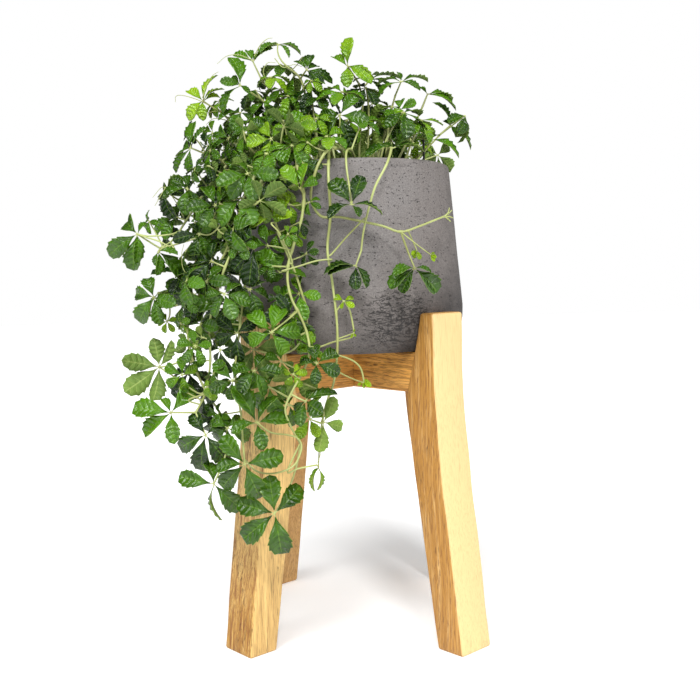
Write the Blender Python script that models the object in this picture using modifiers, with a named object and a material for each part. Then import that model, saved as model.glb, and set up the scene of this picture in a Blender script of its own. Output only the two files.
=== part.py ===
"""Potted miniature grape ivy in a fibre-clay pot on a four-legged wooden plant stand.

Units are metres, +Z up. The bounding box stands centred over the origin. Pieces are laid
out from the pot's own axis, which the empty pot_axis carries to its place. Routes and leaf
places are written in millimetres from that axis, and point() turns them into metres.
"""
import math
import random

import bmesh
import bpy
from mathutils import Matrix, Vector
from mathutils.bvhtree import BVHTree

MM = 0.001
GAP = 0.0003

# Place of the pot's axis, so that the whole bounding box is centred over the origin
AXIS_X = 0.0442
AXIS_Y = 0.0080

# Pot
POT_HEIGHT = 0.396
POT_RIM_RADIUS = 0.086
POT_WAIST_RADIUS = 0.0963
POT_WAIST_HEIGHT = 0.276
POT_BASE_HEIGHT = 0.2403
POT_BASE_RADIUS = 0.083
POT_WALL = 0.009
POT_FLOOR = 0.012
POT_RIM_ROUND = 0.0035
POT_SIDES = 32

# Rounded foot of the pot, below its waist: radius, height
POT_FOOT = [(0.0951, 0.2660), (0.0922, 0.2540), (0.0882, 0.2445)]

# Nursery pot and soil
GROW_RIM_RADIUS = 0.0725
GROW_BASE_RADIUS = 0.056
GROW_HEIGHT = 0.1385
GROW_WALL = 0.0016
GROW_LIP = 0.0022
GROW_LIP_HEIGHT = 0.006
GROW_SIDES = 24
SOIL_TOP = 0.382
ROOT_DEPTH = 0.012

# Stand
LEG_WIDTH = 0.036
LEG_EDGE = 0.0018
BAR_WIDTH = 0.0285
BAR_TOP = 0.240
BAR_HEIGHT = 0.033
BAR_END = 0.099
BAR_EDGE = 0.0012
MORTISE_START = 0.070

# Leg outline in the upright plane through the pot's axis: distance from the axis, height
LEG_OUTER = [
    (137.0, 0), (131.5, 46), (125.0, 93), (119.5, 135), (116.3, 165), (114.0, 190),
    (112.5, 208), (112.0, 230), (112.0, 272),
]
LEG_INNER = [
    (97.0, 272), (93.4, 254), (89.7, 239), (80.0, 204), (81.5, 184), (86.0, 152),
    (91.0, 120), (96.3, 87), (104.0, 39), (110.5, 0),
]

# Strap of the nursery pot, a stub of its cut-off hanger
STRAP_WIDTH = 0.0045
STRAP_THICK = 0.0016
STRAP_TOP = 0.419
STRAP_TURN = -8
STRAP_INSET = 0.0028

# Stems and blades. HUB_RADIUS is in millimetres.
STEM_ROOT = 0.0015
STEM_TIP = 0.0010
STALK = 0.0009
BLADE = 0.00075
HUB_RADIUS = 2.1
STALK_COLLAR = 0.0028
SEED = 29

# A stem's hole is a hexagon around it, so its corners lie further out
HOLE_RADIUS = STEM_ROOT * 1.16 + GAP

# Room kept around blades, stalks and stems while leaves are placed
CLEAR = 0.0015
FAT_LIFT = 0.0010
FAT_BLADE = 0.0028
FAT_STALK = 0.0017
FAT_STEM = 0.0030

# Ways that a leaf's upper side looks
FRONT = (0.00, -0.96, 0.28)
UP = (0.04, -0.50, 0.87)
BACK = (0.05, 0.90, 0.40)
LEFT = (-0.60, -0.72, 0.35)
RIGHT = (0.55, -0.75, 0.36)

# Leaflets fan out around the stalk: turn from the middle one in degrees, share of its length
LEAFLETS = [(0.0, 1.0), (63.0, 0.94), (124.0, 0.78), (-124.0, 0.78), (-63.0, 0.94)]

# Leaflet half outlines from the stalk outwards: share of its length, share of its length
# across. FULL has two coarse teeth a side, PLAIN one shoulder and one tooth, BUD only a kite.
FULL = [(0.44, 0.235), (0.53, 0.200), (0.80, 0.245)]
PLAIN = [(0.42, 0.205), (0.78, 0.250)]
BUD = [(0.66, 0.250)]

# Vines: the soil hole, the route over the rim, and the leaves. A leaf is its middle's place,
# the length of its middle leaflet, the way that leaflet points in the front view in degrees
# from the right, the way it looks, its outline, and for some a point that its stalk passes.
VINES = {
    "vine_far_left": dict(
        root=(-40, -8),
        route=[(-58, -22, 404), (-80, -40, 409), (-100, -52, 396), (-118, -60, 373),
               (-132, -64, 352), (-143, -68, 336), (-153, -72, 329)],
        leaves=[(-131, -76, 378, 20, 190, FRONT, PLAIN), (-142, -58, 355, 20, 215, FRONT, PLAIN),
                (-170, -74, 342, 28, 198, FRONT, FULL), (-153, -86, 323, 20, 272, FRONT, PLAIN)]),
    "vine_left_shoulder": dict(
        root=(-47, -22),
        route=[(-62, -38, 403), (-82, -56, 402), (-95, -68, 385), (-103, -74, 362),
               (-112, -76, 345), (-119, -78, 328), (-126, -78, 310), (-131, -78, 297)],
        leaves=[(-110, -92, 363, 23, 190, FRONT, FULL), (-122, -96, 340, 20, 230, LEFT, PLAIN),
                (-112, -90, 322, 17, 250, FRONT, PLAIN), (-136, -72, 284, 19, 110, FRONT, PLAIN),
                (-112, -62, 395, 19, 175, UP, PLAIN)]),
    "vine_left_middle": dict(
        root=(-36, -31),
        route=[(-58, -52, 402), (-75, -69, 398), (-86, -81, 380), (-93, -86, 355),
               (-96, -88, 330), (-100, -90, 305), (-112, -90, 292), (-128, -90, 285),
               (-143, -90, 282)],
        leaves=[(-157, -96, 291, 22, 190, LEFT, FULL), (-147, -84, 270, 10, 250, FRONT, BUD),
                (-95, -114, 283, 26, 268, FRONT, FULL)]),
    "vine_long_left": dict(
        root=(-32, -42),
        route=[(-50, -62, 402), (-63, -79, 398), (-74, -91, 378), (-84, -97, 350),
               (-96, -99, 322), (-112, -99, 298), (-126, -97, 276), (-127, -97, 252),
               (-121, -99, 230), (-112, -103, 212), (-101, -108, 196), (-96, -114, 178),
               (-98, -119, 164)],
        leaves=[(-80, -104, 386, 26, 250, FRONT, FULL), (-153, -90, 235, 28, 188, BACK, FULL),
                (-131, -108, 229, 16, 150, FRONT, PLAIN), (-105, -130, 146, 26, 250, FRONT, FULL)]),
    "vine_lower_left": dict(
        root=(-22, -36),
        route=[(-40, -62, 404), (-52, -82, 402), (-62, -97, 385), (-72, -105, 360),
               (-86, -108, 330), (-99, -108, 300), (-108, -108, 268), (-108, -110, 240),
               (-112, -112, 216), (-120, -114, 200)],
        leaves=[(-145, -112, 197, 28, 190, LEFT, FULL), (-111, -124, 184, 24, 255, FRONT, FULL),
                (-118, -116, 252, 15, 235, FRONT, PLAIN)]),
    "vine_leg": dict(
        root=(-41, -39),
        route=[(-59, -58, 401), (-69, -75, 396), (-76, -88, 372), (-78, -94, 345),
               (-78, -100, 318), (-81, -106, 290), (-84, -113, 262), (-87, -119, 238),
               (-86, -122, 216), (-83, -124, 198), (-82, -127, 180)],
        leaves=[(-58, -82, 412, 19, 200, FRONT, PLAIN),
                (-88, -128, 226, 20, 135, FRONT, PLAIN), (-71, -132, 192, 23, 92, FRONT, FULL),
                (-79, -136, 162, 26, 78, FRONT, FULL), (-70, -110, 326, 24, 215, FRONT, FULL)]),
    "vine_front_bright": dict(
        root=(-25, -48),
        route=[(-33, -66, 402), (-38, -84, 401), (-37, -99, 388), (-32, -106, 367),
               (-34, -107, 348), (-40, -107, 330), (-45, -108, 314), (-46, -109, 300),
               (-43, -111, 286), (-36, -114, 272), (-31, -117, 258), (-30, -119, 244),
               (-35, -121, 231), (-43, -123, 217), (-49, -125, 203), (-45, -127, 190),
               (-38, -128, 177)],
        leaves=[(-34, -113, 370, 18, 110, FRONT, PLAIN),
                (-57, -134, 262, 26, 68, FRONT, FULL, (-35, -126, 281)),
                (-24, -128, 238, 20, 40, FRONT, PLAIN),
                (-57, -136, 122, 29, 160, FRONT, FULL, (-42, -130, 152))]),
    "vine_front_cross": dict(
        root=(-31, -49),
        route=[(-47, -66, 404), (-53, -80, 399), (-59, -93, 380), (-58, -98, 358),
               (-53, -99, 338), (-47, -100, 322), (-41, -101, 307), (-36, -103, 291),
               (-32, -106, 276), (-34, -109, 260), (-42, -112, 248), (-54, -114, 243)],
        leaves=[(-58, -108, 354, 19, 120, FRONT, PLAIN), (-52, -112, 309, 20, 112, FRONT, PLAIN),
                (-74, -107, 248, 23, 300, BACK, PLAIN), (-44, -117, 336, 9, 330, FRONT, BUD)]),
    "vine_front_middle": dict(
        root=(-9, -50),
        route=[(-12, -68, 402), (-13, -85, 400), (-13, -100, 380), (-12, -104, 350),
               (-15, -104, 324), (-12, -105, 300), (-9, -107, 270), (-9, -110, 245),
               (-12, -113, 222), (-18, -115, 206), (-22, -116, 190)],
        leaves=[(-18, -110, 281, 10, 250, FRONT, BUD), (10, -110, 262, 11, 290, FRONT, BUD),
                (9, -112, 218, 9, 280, FRONT, BUD), (-33, -124, 196, 18, 100, FRONT, PLAIN),
                (-15, -108, 194, 20, 10, BACK, PLAIN), (-25, -120, 160, 17, 262, FRONT, PLAIN)]),
    "vine_rim_right": dict(
        root=(26, -42),
        route=[(33, -62, 402), (36, -82, 402), (32, -98, 388), (23, -103, 371),
               (17, -103, 352), (13, -103, 336), (11, -103, 322)],
        leaves=[(7, -106, 311, 19, 255, FRONT, PLAIN), (38, -66, 415, 23, 95, UP, FULL)]),
    "vine_side_shoot": dict(
        root=(0, -36),
        route=[(-4, -62, 404), (-7, -84, 403), (-13, -93, 402), (-22, -101, 386),
               (-27, -101, 364),
               (-20, -97, 350), (-6, -96, 349), (12, -96, 345), (28, -98, 341),
               (42, -100, 336), (56, -96, 340), (69, -89, 345), (79, -80, 349)],
        leaves=[(52, -106, 308, 22, 265, FRONT, PLAIN), (64, -104, 318, 8, 315, FRONT, BUD),
                (53, -98, 323, 7, 240, FRONT, BUD)]),
    "vine_rim_middle": dict(
        root=(9, -50),
        route=[(5, -68, 402), (1, -85, 401), (1, -98, 388), (3, -102, 371)],
        leaves=[(5, -106, 357, 20, 95, FRONT, FULL), (-15, -76, 413, 19, 330, UP, PLAIN),
                (13, -66, 427, 18, 60, UP, BUD)]),
    "vine_top_far_left": dict(
        root=(-54, -2),
        route=[(-64, -12, 402), (-78, -22, 415), (-93, -29, 430), (-106, -32, 443)],
        leaves=[(-122, -34, 454, 19, 135, FRONT, PLAIN), (-97, -40, 418, 22, 150, LEFT, FULL)]),
    "vine_top_left": dict(
        root=(-54, -13),
        route=[(-72, -27, 403), (-90, -38, 408), (-106, -43, 403), (-118, -46, 407)],
        leaves=[(-130, -50, 412, 26, 155, LEFT, FULL), (-88, -46, 440, 17, 200, UP, PLAIN)]),
    "vine_top_arch": dict(
        root=(-28, -18),
        route=[(-36, -20, 405), (-46, -22, 426), (-58, -25, 442), (-72, -28, 453)],
        leaves=[(-87, -32, 462, 25, 160, FRONT, FULL), (-62, -44, 432, 19, 40, FRONT, PLAIN)]),
    "vine_top_tall": dict(
        root=(-30, 2),
        route=[(-36, -4, 410), (-48, -10, 438), (-62, -16, 458), (-72, -22, 470)],
        leaves=[(-79, -30, 486, 18, 95, UP, PLAIN), (-64, -38, 471, 19, 60, UP, PLAIN),
                (-49, -34, 455, 20, 200, UP, BUD)]),
    "vine_top_curl": dict(
        root=(-14, -22),
        route=[(-22, -25, 405), (-31, -27, 430), (-35, -27, 455), (-39, -26, 470),
               (-47, -27, 478)],
        leaves=[(-33, -36, 475, 22, 90, FRONT, FULL),
                (-57, -28, 497, 19, 350, UP, PLAIN, (-60, -28, 487)),
                (-31, -50, 427, 22, 85, FRONT, FULL), (-20, -40, 452, 19, 320, UP, PLAIN)]),
    "vine_top_middle": dict(
        root=(10, -20),
        route=[(9, -22, 405), (11, -22, 430), (13, -20, 450), (10, -18, 466)],
        leaves=[(1, -28, 479, 24, 88, FRONT, FULL), (-3, -38, 454, 24, 110, UP, FULL),
                (18, 4, 473, 24, 15, UP, PLAIN)]),
    "vine_top_right": dict(
        root=(22, -10),
        route=[(25, -8, 405), (31, -6, 425), (37, -4, 445), (41, -3, 458)],
        leaves=[(43, -6, 469, 24, 60, UP, FULL), (47, -22, 446, 16, 70, RIGHT, PLAIN),
                (21, -2, 452, 20, 250, UP, PLAIN)]),
    "vine_right_high": dict(
        root=(37, -16),
        route=[(43, -14, 403), (52, -10, 420), (58, -6, 434), (64, -3, 447)],
        leaves=[(69, 0, 459, 25, -12, UP, FULL), (72, -18, 420, 26, 60, UP, FULL)]),
    "vine_right_far": dict(
        root=(47, 2),
        route=[(56, 4, 402), (67, 5, 412), (79, 4, 424)],
        leaves=[(89, 0, 433, 22, 40, RIGHT, FULL), (61, 12, 416, 16, 100, UP, PLAIN)]),
}

# Vines on the side away from the viewer, grown by rule: direction from the pot's axis in
# degrees, distance of the hole from the axis, height of the arch and the lowest height
BACK_VINES = [
    (76, 44, 424, 366), (94, 54, 416, 322), (110, 38, 438, 350), (127, 56, 414, 292),
    (146, 42, 430, 326), (163, 58, 412, 258), (180, 38, 432, 330), (55, 30, 446, 412),
]
# Distances from the pot's axis as such a vine passes the rim, falls past it and ends
BACK_RIM = 80
BACK_FALL = 98
BACK_HANG = 104
BACK_LOW = 112
# Its leaves: places along the route, turn off the outward way, distance and length ranges
BACK_LEAF_SHARES = (0.42, 0.96)
BACK_LEAF_SWING = 38
BACK_LEAF_OUT = (17, 24)
BACK_LEAF_REACH = (19, 25)


def point(x, y, z):
    """A place given in millimetres from the pot's axis, in metres."""
    return Vector((x * MM, y * MM, z * MM))


def remove_everything():
    for item in list(bpy.data.objects):
        bpy.data.objects.remove(item, do_unlink=True)
    for group in list(bpy.data.collections):
        bpy.data.collections.remove(group)


def new_collection(name):
    group = bpy.data.collections.new(name)
    bpy.context.scene.collection.children.link(group)
    return group


def new_material(name, color, roughness, metallic=0.0):
    material = bpy.data.materials.new(name)
    material.use_nodes = True
    shader = material.node_tree.nodes["Principled BSDF"]
    shader.inputs["Base Color"].default_value = (*color, 1.0)
    shader.inputs["Roughness"].default_value = roughness
    shader.inputs["Metallic"].default_value = metallic
    return material


def move_to(item, group):
    """Takes an object out of every collection and links it to one."""
    for old in list(item.users_collection):
        old.objects.unlink(item)
    group.objects.link(item)


def mesh_object(name, bm, group):
    mesh = bpy.data.meshes.new(name)
    bm.to_mesh(mesh)
    bm.free()
    item = bpy.data.objects.new(name, mesh)
    group.objects.link(item)
    return item


def baked(item):
    """Replaces an object by its evaluated mesh, with the loose caps of a curve welded."""
    bpy.context.view_layer.update()
    depsgraph = bpy.context.evaluated_depsgraph_get()
    mesh = bpy.data.meshes.new_from_object(item.evaluated_get(depsgraph))
    bm = bmesh.new()
    bm.from_mesh(mesh)
    bmesh.ops.remove_doubles(bm, verts=bm.verts, dist=1e-6)
    bmesh.ops.recalc_face_normals(bm, faces=bm.faces)
    bm.to_mesh(mesh)
    bm.free()
    name = item.name
    group = item.users_collection[0]
    matrix = item.matrix_world.copy()
    bpy.data.objects.remove(item, do_unlink=True)
    result = bpy.data.objects.new(name, mesh)
    result.matrix_world = matrix
    group.objects.link(result)
    return result


def boolean(item, operation, other, solver="EXACT"):
    """Adds a Boolean with one object or with a whole collection."""
    modifier = item.modifiers.new(operation.title(), "BOOLEAN")
    modifier.operation = operation
    modifier.solver = solver
    if isinstance(other, bpy.types.Collection):
        modifier.operand_type = "COLLECTION"
        modifier.collection = other
    else:
        modifier.object = other
    return modifier


def cutter(item, group):
    move_to(item, group)
    item.hide_render = True
    item.display_type = "WIRE"
    return item


def finish(item, material, smooth_angle=None):
    item.data.materials.clear()
    item.data.materials.append(material)
    if smooth_angle is not None:
        item.data.shade_smooth()
        item.data.set_sharp_from_angle(angle=math.radians(smooth_angle))


def box(name, size, center, turn, group):
    """A box turned about the vertical, with its size baked into the mesh."""
    bm = bmesh.new()
    bmesh.ops.create_cube(bm, size=1.0, matrix=Matrix.Diagonal((*size, 1.0)))
    item = mesh_object(name, bm, group)
    item.location = center
    item.rotation_euler = (0.0, 0.0, turn)
    return item


def turned(name, profile, sides, group):
    """A profile of (radius, height) turned once about the vertical."""
    bm = bmesh.new()
    corners = [bm.verts.new((radius, 0.0, height)) for radius, height in profile]
    for first, second in zip(corners, corners[1:]):
        bm.edges.new((first, second))
    item = mesh_object(name, bm, group)
    screw = item.modifiers.new("Screw", "SCREW")
    screw.axis = "Z"
    screw.angle = math.tau
    screw.steps = sides
    screw.render_steps = sides
    screw.use_merge_vertices = True
    screw.merge_threshold = 0.00005
    return item


def arc(center_radius, center_height, size, start, end, count):
    """Points of a quarter or half round in a turned profile."""
    points = []
    for index in range(count + 1):
        angle = math.radians(start + (end - start) * index / count)
        radius = center_radius + size * math.cos(angle)
        points.append((radius, center_height + size * math.sin(angle)))
    return points


def make_pot(group, material):
    """Fibre-clay pot: narrow rim, wall widening down to a waist, rounded foot."""
    rim_center = POT_RIM_RADIUS - POT_RIM_ROUND
    profile = [(0.0, POT_BASE_HEIGHT + POT_FLOOR)]
    floor_radius = POT_BASE_RADIUS - POT_WALL
    profile.append((floor_radius, POT_BASE_HEIGHT + POT_FLOOR))
    profile.append((POT_WAIST_RADIUS - POT_WALL, POT_WAIST_HEIGHT))
    profile.append((POT_RIM_RADIUS - POT_WALL, POT_HEIGHT - POT_RIM_ROUND))
    profile += arc(POT_RIM_RADIUS - POT_WALL + POT_RIM_ROUND, POT_HEIGHT - POT_RIM_ROUND,
                   POT_RIM_ROUND, 150, 90, 2)
    profile += arc(rim_center, POT_HEIGHT - POT_RIM_ROUND, POT_RIM_ROUND, 90, 5, 3)
    profile.append((POT_WAIST_RADIUS, POT_WAIST_HEIGHT))
    profile += POT_FOOT
    profile.append((POT_BASE_RADIUS, POT_BASE_HEIGHT))
    profile.append((0.0, POT_BASE_HEIGHT))
    pot = turned("pot", profile, POT_SIDES, group)
    finish(pot, material, 40)
    return pot


def grow_radius(height):
    """Outer radius of the nursery pot at a height above its own base."""
    return GROW_BASE_RADIUS + (GROW_RIM_RADIUS - GROW_BASE_RADIUS) * height / GROW_HEIGHT


def make_grow_pot(group, material):
    """Thin black nursery pot that stands on the clay pot's floor."""
    base = POT_BASE_HEIGHT + POT_FLOOR + GAP
    top = base + GROW_HEIGHT
    inner_base = base + GROW_WALL
    profile = [(0.0, inner_base), (grow_radius(GROW_WALL) - GROW_WALL, inner_base)]
    profile.append((GROW_RIM_RADIUS - GROW_WALL, top))
    profile.append((GROW_RIM_RADIUS + GROW_LIP, top))
    profile.append((GROW_RIM_RADIUS + GROW_LIP, top - GROW_LIP_HEIGHT))
    under = GROW_LIP_HEIGHT + GROW_LIP
    profile.append((grow_radius(GROW_HEIGHT - under), top - under))
    profile.append((GROW_BASE_RADIUS, base))
    profile.append((0.0, base))
    pot = turned("grow_pot", profile, GROW_SIDES, group)
    finish(pot, material, 30)
    return pot


def strap_frame():
    """Place of the strap's foot at the nursery pot's inner wall, and its outward way."""
    outward = Vector((math.cos(math.radians(STRAP_TURN)), math.sin(math.radians(STRAP_TURN)), 0))
    height = SOIL_TOP - ROOT_DEPTH - POT_BASE_HEIGHT - POT_FLOOR - GAP
    wall = (grow_radius(height) - GROW_WALL) * math.cos(math.pi / GROW_SIDES)
    return outward * (wall - STRAP_INSET), outward


def make_strap(group, material):
    """Stub of the black hanger strap, upright at the inner side of the nursery pot's rim."""
    foot, outward = strap_frame()
    height = STRAP_TOP - SOIL_TOP + ROOT_DEPTH
    middle = foot + Vector((0, 0, SOIL_TOP - ROOT_DEPTH + height / 2))
    size = (STRAP_THICK, STRAP_WIDTH, height)
    strap = box("pot_strap", size, middle, math.radians(STRAP_TURN), group)
    finish(strap, material)
    return strap


def make_soil(group, cutters, material, holes):
    """Root ball that fills the nursery pot, with a plain hole for each stem."""
    base = POT_BASE_HEIGHT + POT_FLOOR + GAP + GROW_WALL + GAP
    level = SOIL_TOP - POT_BASE_HEIGHT - POT_FLOOR - GAP
    low = grow_radius(GROW_WALL) - GROW_WALL - 2 * GAP
    high = grow_radius(level) - GROW_WALL - 2 * GAP
    profile = [(0.0, SOIL_TOP), (high, SOIL_TOP), (low, base), (0.0, base)]
    soil = baked(turned("soil", profile, GROW_SIDES, group))
    bm = bmesh.new()
    for x, y in holes:
        place = Matrix.Translation((x * MM, y * MM, SOIL_TOP))
        bmesh.ops.create_cone(bm, cap_ends=True, segments=6, depth=2 * (ROOT_DEPTH + GAP),
                              radius1=HOLE_RADIUS, radius2=HOLE_RADIUS, matrix=place)
    foot, outward = strap_frame()
    slot = Matrix.Translation(foot + Vector((0, 0, SOIL_TOP)))
    slot @= Matrix.Rotation(math.radians(STRAP_TURN), 4, "Z")
    slot @= Matrix.Diagonal((STRAP_THICK + 2 * GAP, STRAP_WIDTH + 2 * GAP,
                             2 * (ROOT_DEPTH + GAP), 1.0))
    bmesh.ops.create_cube(bm, size=1.0, matrix=slot)
    tools = cutter(mesh_object("soil_holes", bm, cutters), cutters)
    boolean(soil, "DIFFERENCE", tools)
    finish(soil, material, 30)
    return soil


def leg_outline(name, group):
    """The leg's side view as a filled flat curve, extruded to the leg's width."""
    curve = bpy.data.curves.new(name, "CURVE")
    curve.dimensions = "2D"
    curve.fill_mode = "BOTH"
    curve.extrude = LEG_WIDTH / 2
    corners = LEG_OUTER + LEG_INNER
    spline = curve.splines.new("POLY")
    spline.points.add(len(corners) - 1)
    for spot, (radius, height) in zip(spline.points, corners):
        spot.co = (radius * MM, height * MM, 0.0, 1.0)
    spline.use_cyclic_u = True
    item = bpy.data.objects.new(name, curve)
    group.objects.link(item)
    item.rotation_euler = (math.radians(90), 0.0, 0.0)
    return item


def make_leg(name, direction, group, cutters, material):
    """One splayed leg with the mortise that takes its cross bar's end."""
    leg = baked(leg_outline(name, group))
    leg.data.transform(leg.matrix_world)
    leg.matrix_world = Matrix.Rotation(math.radians(direction), 4, "Z")
    bevel = leg.modifiers.new("Bevel", "BEVEL")
    bevel.width = LEG_EDGE
    bevel.segments = 1
    bevel.limit_method = "ANGLE"
    bevel.angle_limit = math.radians(40)
    depth = BAR_END + GAP - MORTISE_START
    size = (depth, BAR_WIDTH + 2 * GAP, BAR_HEIGHT + 2 * GAP)
    center = Vector((MORTISE_START + depth / 2, 0.0, BAR_TOP - BAR_HEIGHT / 2))
    turn = math.radians(direction)
    center.rotate(Matrix.Rotation(turn, 3, "Z"))
    mortise = cutter(box(name + "_mortise", size, center, turn, cutters), cutters)
    boolean(leg, "DIFFERENCE", mortise)
    finish(leg, material, 30)
    return leg


def make_bar(name, direction, notch_low, group, cutters, material):
    """One cross bar, halved at the middle where the other bar passes it."""
    turn = math.radians(direction)
    middle = BAR_TOP - BAR_HEIGHT / 2
    bar = box(name, (2 * BAR_END, BAR_WIDTH, BAR_HEIGHT), (0, 0, middle), turn, group)
    bevel = bar.modifiers.new("Bevel", "BEVEL")
    bevel.width = BAR_EDGE
    bevel.segments = 1
    bevel.limit_method = "ANGLE"
    side = BAR_WIDTH + 2 * GAP
    depth = BAR_HEIGHT / 2 + GAP / 2
    height = BAR_TOP - BAR_HEIGHT + depth / 2 if notch_low else BAR_TOP - depth / 2
    reach = GAP * 4
    offset = -reach / 2 if notch_low else reach / 2
    notch = box(name + "_notch", (side, side, depth + reach), (0, 0, height + offset), turn, cutters)
    cutter(notch, cutters)
    boolean(bar, "DIFFERENCE", notch)
    finish(bar, material, 30)
    return bar


def tube(name, points, start_radius, end_radius, group):
    """A tapering four-sided stem along points, as a welded mesh."""
    curve = bpy.data.curves.new(name, "CURVE")
    curve.dimensions = "3D"
    curve.bevel_depth = start_radius
    curve.bevel_resolution = 0
    curve.use_fill_caps = True
    spline = curve.splines.new("POLY")
    spline.points.add(len(points) - 1)
    last = len(points) - 1
    for index, (spot, place) in enumerate(zip(spline.points, points)):
        spot.co = (*place, 1.0)
        share = index / last
        spot.radius = (1.0 - share) + share * end_radius / start_radius
    item = bpy.data.objects.new(name, curve)
    group.objects.link(item)
    return baked(item)


def leaf_axes(look, clock, lean):
    """Upper-side direction, middle leaflet's direction and the direction across it."""
    upper = (Vector(look).normalized() + lean).normalized()
    angle = math.radians(clock)
    middle = Vector((math.cos(angle), 0.0, math.sin(angle)))
    middle = (middle - upper * middle.dot(upper)).normalized()
    return upper, middle, upper.cross(middle)


def leaf_blade(hub, reach, clock, look, outline, lean, thickness):
    """One leaf as a closed thin blade: five leaflets cut to the middle, in triangles.

    Both faces hold the same triangles, so the waved blade never crosses itself. Returns the
    corners in metres and the triangles.
    """
    upper, middle, across = leaf_axes(look, clock, lean)
    top = []
    triangles = [(0, 1, 2), (0, 2, 3), (0, 3, 4)]
    notches = []
    for index, (turn, _) in enumerate(LEAFLETS):
        following = LEAFLETS[(index + 1) % 5][0]
        between = 180.0 if index == 2 else (turn + following) / 2
        angle = math.radians(between)
        notches.append(len(top))
        flat = middle * math.cos(angle) + across * math.sin(angle)
        top.append(flat * HUB_RADIUS)
    rim = []
    for index, (turn, length_share) in enumerate(LEAFLETS):
        angle = math.radians(turn)
        along = middle * math.cos(angle) + across * math.sin(angle)
        beside = upper.cross(along)
        length = reach * length_share
        right = notches[(index - 1) % 5]
        left = notches[index]
        rim.append(right)
        lefts = []
        for share, width in outline:
            bend = length * (0.20 * share - 0.36 * share * share + 0.22 * width)
            base = along * (length * share) + upper * bend
            rim.append(len(top))
            top.append(base - beside * (length * width))
            lefts.append(len(top))
            top.append(base + beside * (length * width))
            triangles.append((right, rim[-1], lefts[-1]))
            triangles.append((right, lefts[-1], left))
            right = rim[-1]
            left = lefts[-1]
        tip = len(top)
        top.append(along * length + upper * (length * -0.16))
        triangles.append((right, tip, left))
        rim.append(tip)
        rim += reversed(lefts)
    count = len(top)
    corners = [hub + place * MM for place in top]
    corners += [corner - upper * thickness for corner in corners]
    faces = [(a + count, c + count, b + count) for a, b, c in triangles]
    faces += triangles
    for first, second in zip(rim, rim[1:] + rim[:1]):
        faces.append((first, first + count, second + count))
        faces.append((first, second + count, second))
    return corners, faces


def with_stalk(blade, hub, upper, stalk):
    """The blade with its stalk grown from the five-sided middle of its underside.

    The stalk is three-sided. Its first ring is lofted from the five underside corners.
    """
    corners, faces = blade
    count = len(corners) // 2
    corners = list(corners)
    faces = list(faces[3:])
    flats = [(corners[index] - hub).normalized() for index in range(5)]
    ways = [(flats[0] + flats[1]).normalized(), (flats[2] + flats[3]).normalized(), flats[4]]
    points = [hub - upper * STALK_COLLAR] + stalk[-2::-1]
    points[0] = points[0].lerp(points[1], 0.12)
    rings = []
    for index, place in enumerate(points):
        ahead = points[min(index + 1, len(points) - 1)] - points[max(index - 1, 0)]
        turn = (-upper).rotation_difference(ahead)
        share = index / (len(points) - 1)
        radius = STALK * (1.0 - 0.15 * share)
        rings.append([len(corners) + corner for corner in range(3)])
        corners += [place + turn @ (way * radius) for way in ways]
    owner = [0, 0, 1, 1, 2]
    for index in range(5):
        following = (index + 1) % 5
        first = rings[0][owner[index]]
        second = rings[0][owner[following]]
        faces.append((count + index, count + following, first))
        if first != second:
            faces.append((count + following, second, first))
    for near, far in zip(rings, rings[1:]):
        for corner in range(3):
            following = (corner + 1) % 3
            faces.append((near[corner], near[following], far[following]))
            faces.append((near[corner], far[following], far[corner]))
    faces.append(tuple(rings[-1]))
    return corners, faces


def nearest_on(route, place):
    """Nearest spot to a place on the middle and outer stretch of a route."""
    best = None
    for first, second in zip(route[1:], route[2:]):
        step = second - first
        share = max(0.0, min(1.0, (place - first).dot(step) / step.length_squared))
        spot = first + step * share
        distance = (spot - place).length
        if best is None or distance < best[0]:
            best = (distance, spot)
    return best[1]


def stalk_points(route, hub, upper, via):
    """The leaf stalk, from the stem's middle line to the middle of the blade."""
    start = nearest_on(route, via if via is not None else hub)
    if via is None:
        via = start.lerp(hub, 0.55)
    rise = (hub - via).dot(upper)
    wanted = (hub - via).length * 0.30
    if rise < wanted:
        via = via - upper * (wanted - rise)
    return [start, via, hub]


def prism(points, radius):
    """Three-sided tube along points, for testing what a stem or stalk would touch."""
    corners = []
    faces = []
    for index, place in enumerate(points):
        ahead = points[min(index + 1, len(points) - 1)] - points[max(index - 1, 0)]
        side = ahead.orthogonal().normalized()
        for turn in range(3):
            offset = side.copy()
            offset.rotate(Matrix.Rotation(math.tau * turn / 3, 3, ahead))
            corners.append(place + offset * radius)
    for ring in range(len(points) - 1):
        for turn in range(3):
            a = ring * 3 + turn
            b = ring * 3 + (turn + 1) % 3
            faces.append((a, b, b + 3))
            faces.append((a, b + 3, a + 3))
    return corners, faces


def tree_of(shapes):
    """One search tree over several (corners, faces) shapes, or None."""
    corners = []
    faces = []
    for shape_corners, shape_faces in shapes:
        start = len(corners)
        corners += shape_corners
        faces += [tuple(index + start for index in face) for face in shape_faces]
    if not faces:
        return None
    return BVHTree.FromPolygons(corners, faces)


def touches(shape, tree):
    return tree is not None and bool(tree_of([shape]).overlap(tree))


def pot_clearance(place):
    """How far a place stays outside the pot's wall or above its rim, in metres."""
    share = (POT_HEIGHT - place.z) / (POT_HEIGHT - POT_WAIST_HEIGHT)
    share = max(0.0, min(1.0, share))
    wall = POT_RIM_RADIUS + (POT_WAIST_RADIUS - POT_RIM_RADIUS) * share
    return max(math.hypot(place.x, place.y) - wall, place.z - POT_HEIGHT)


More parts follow.
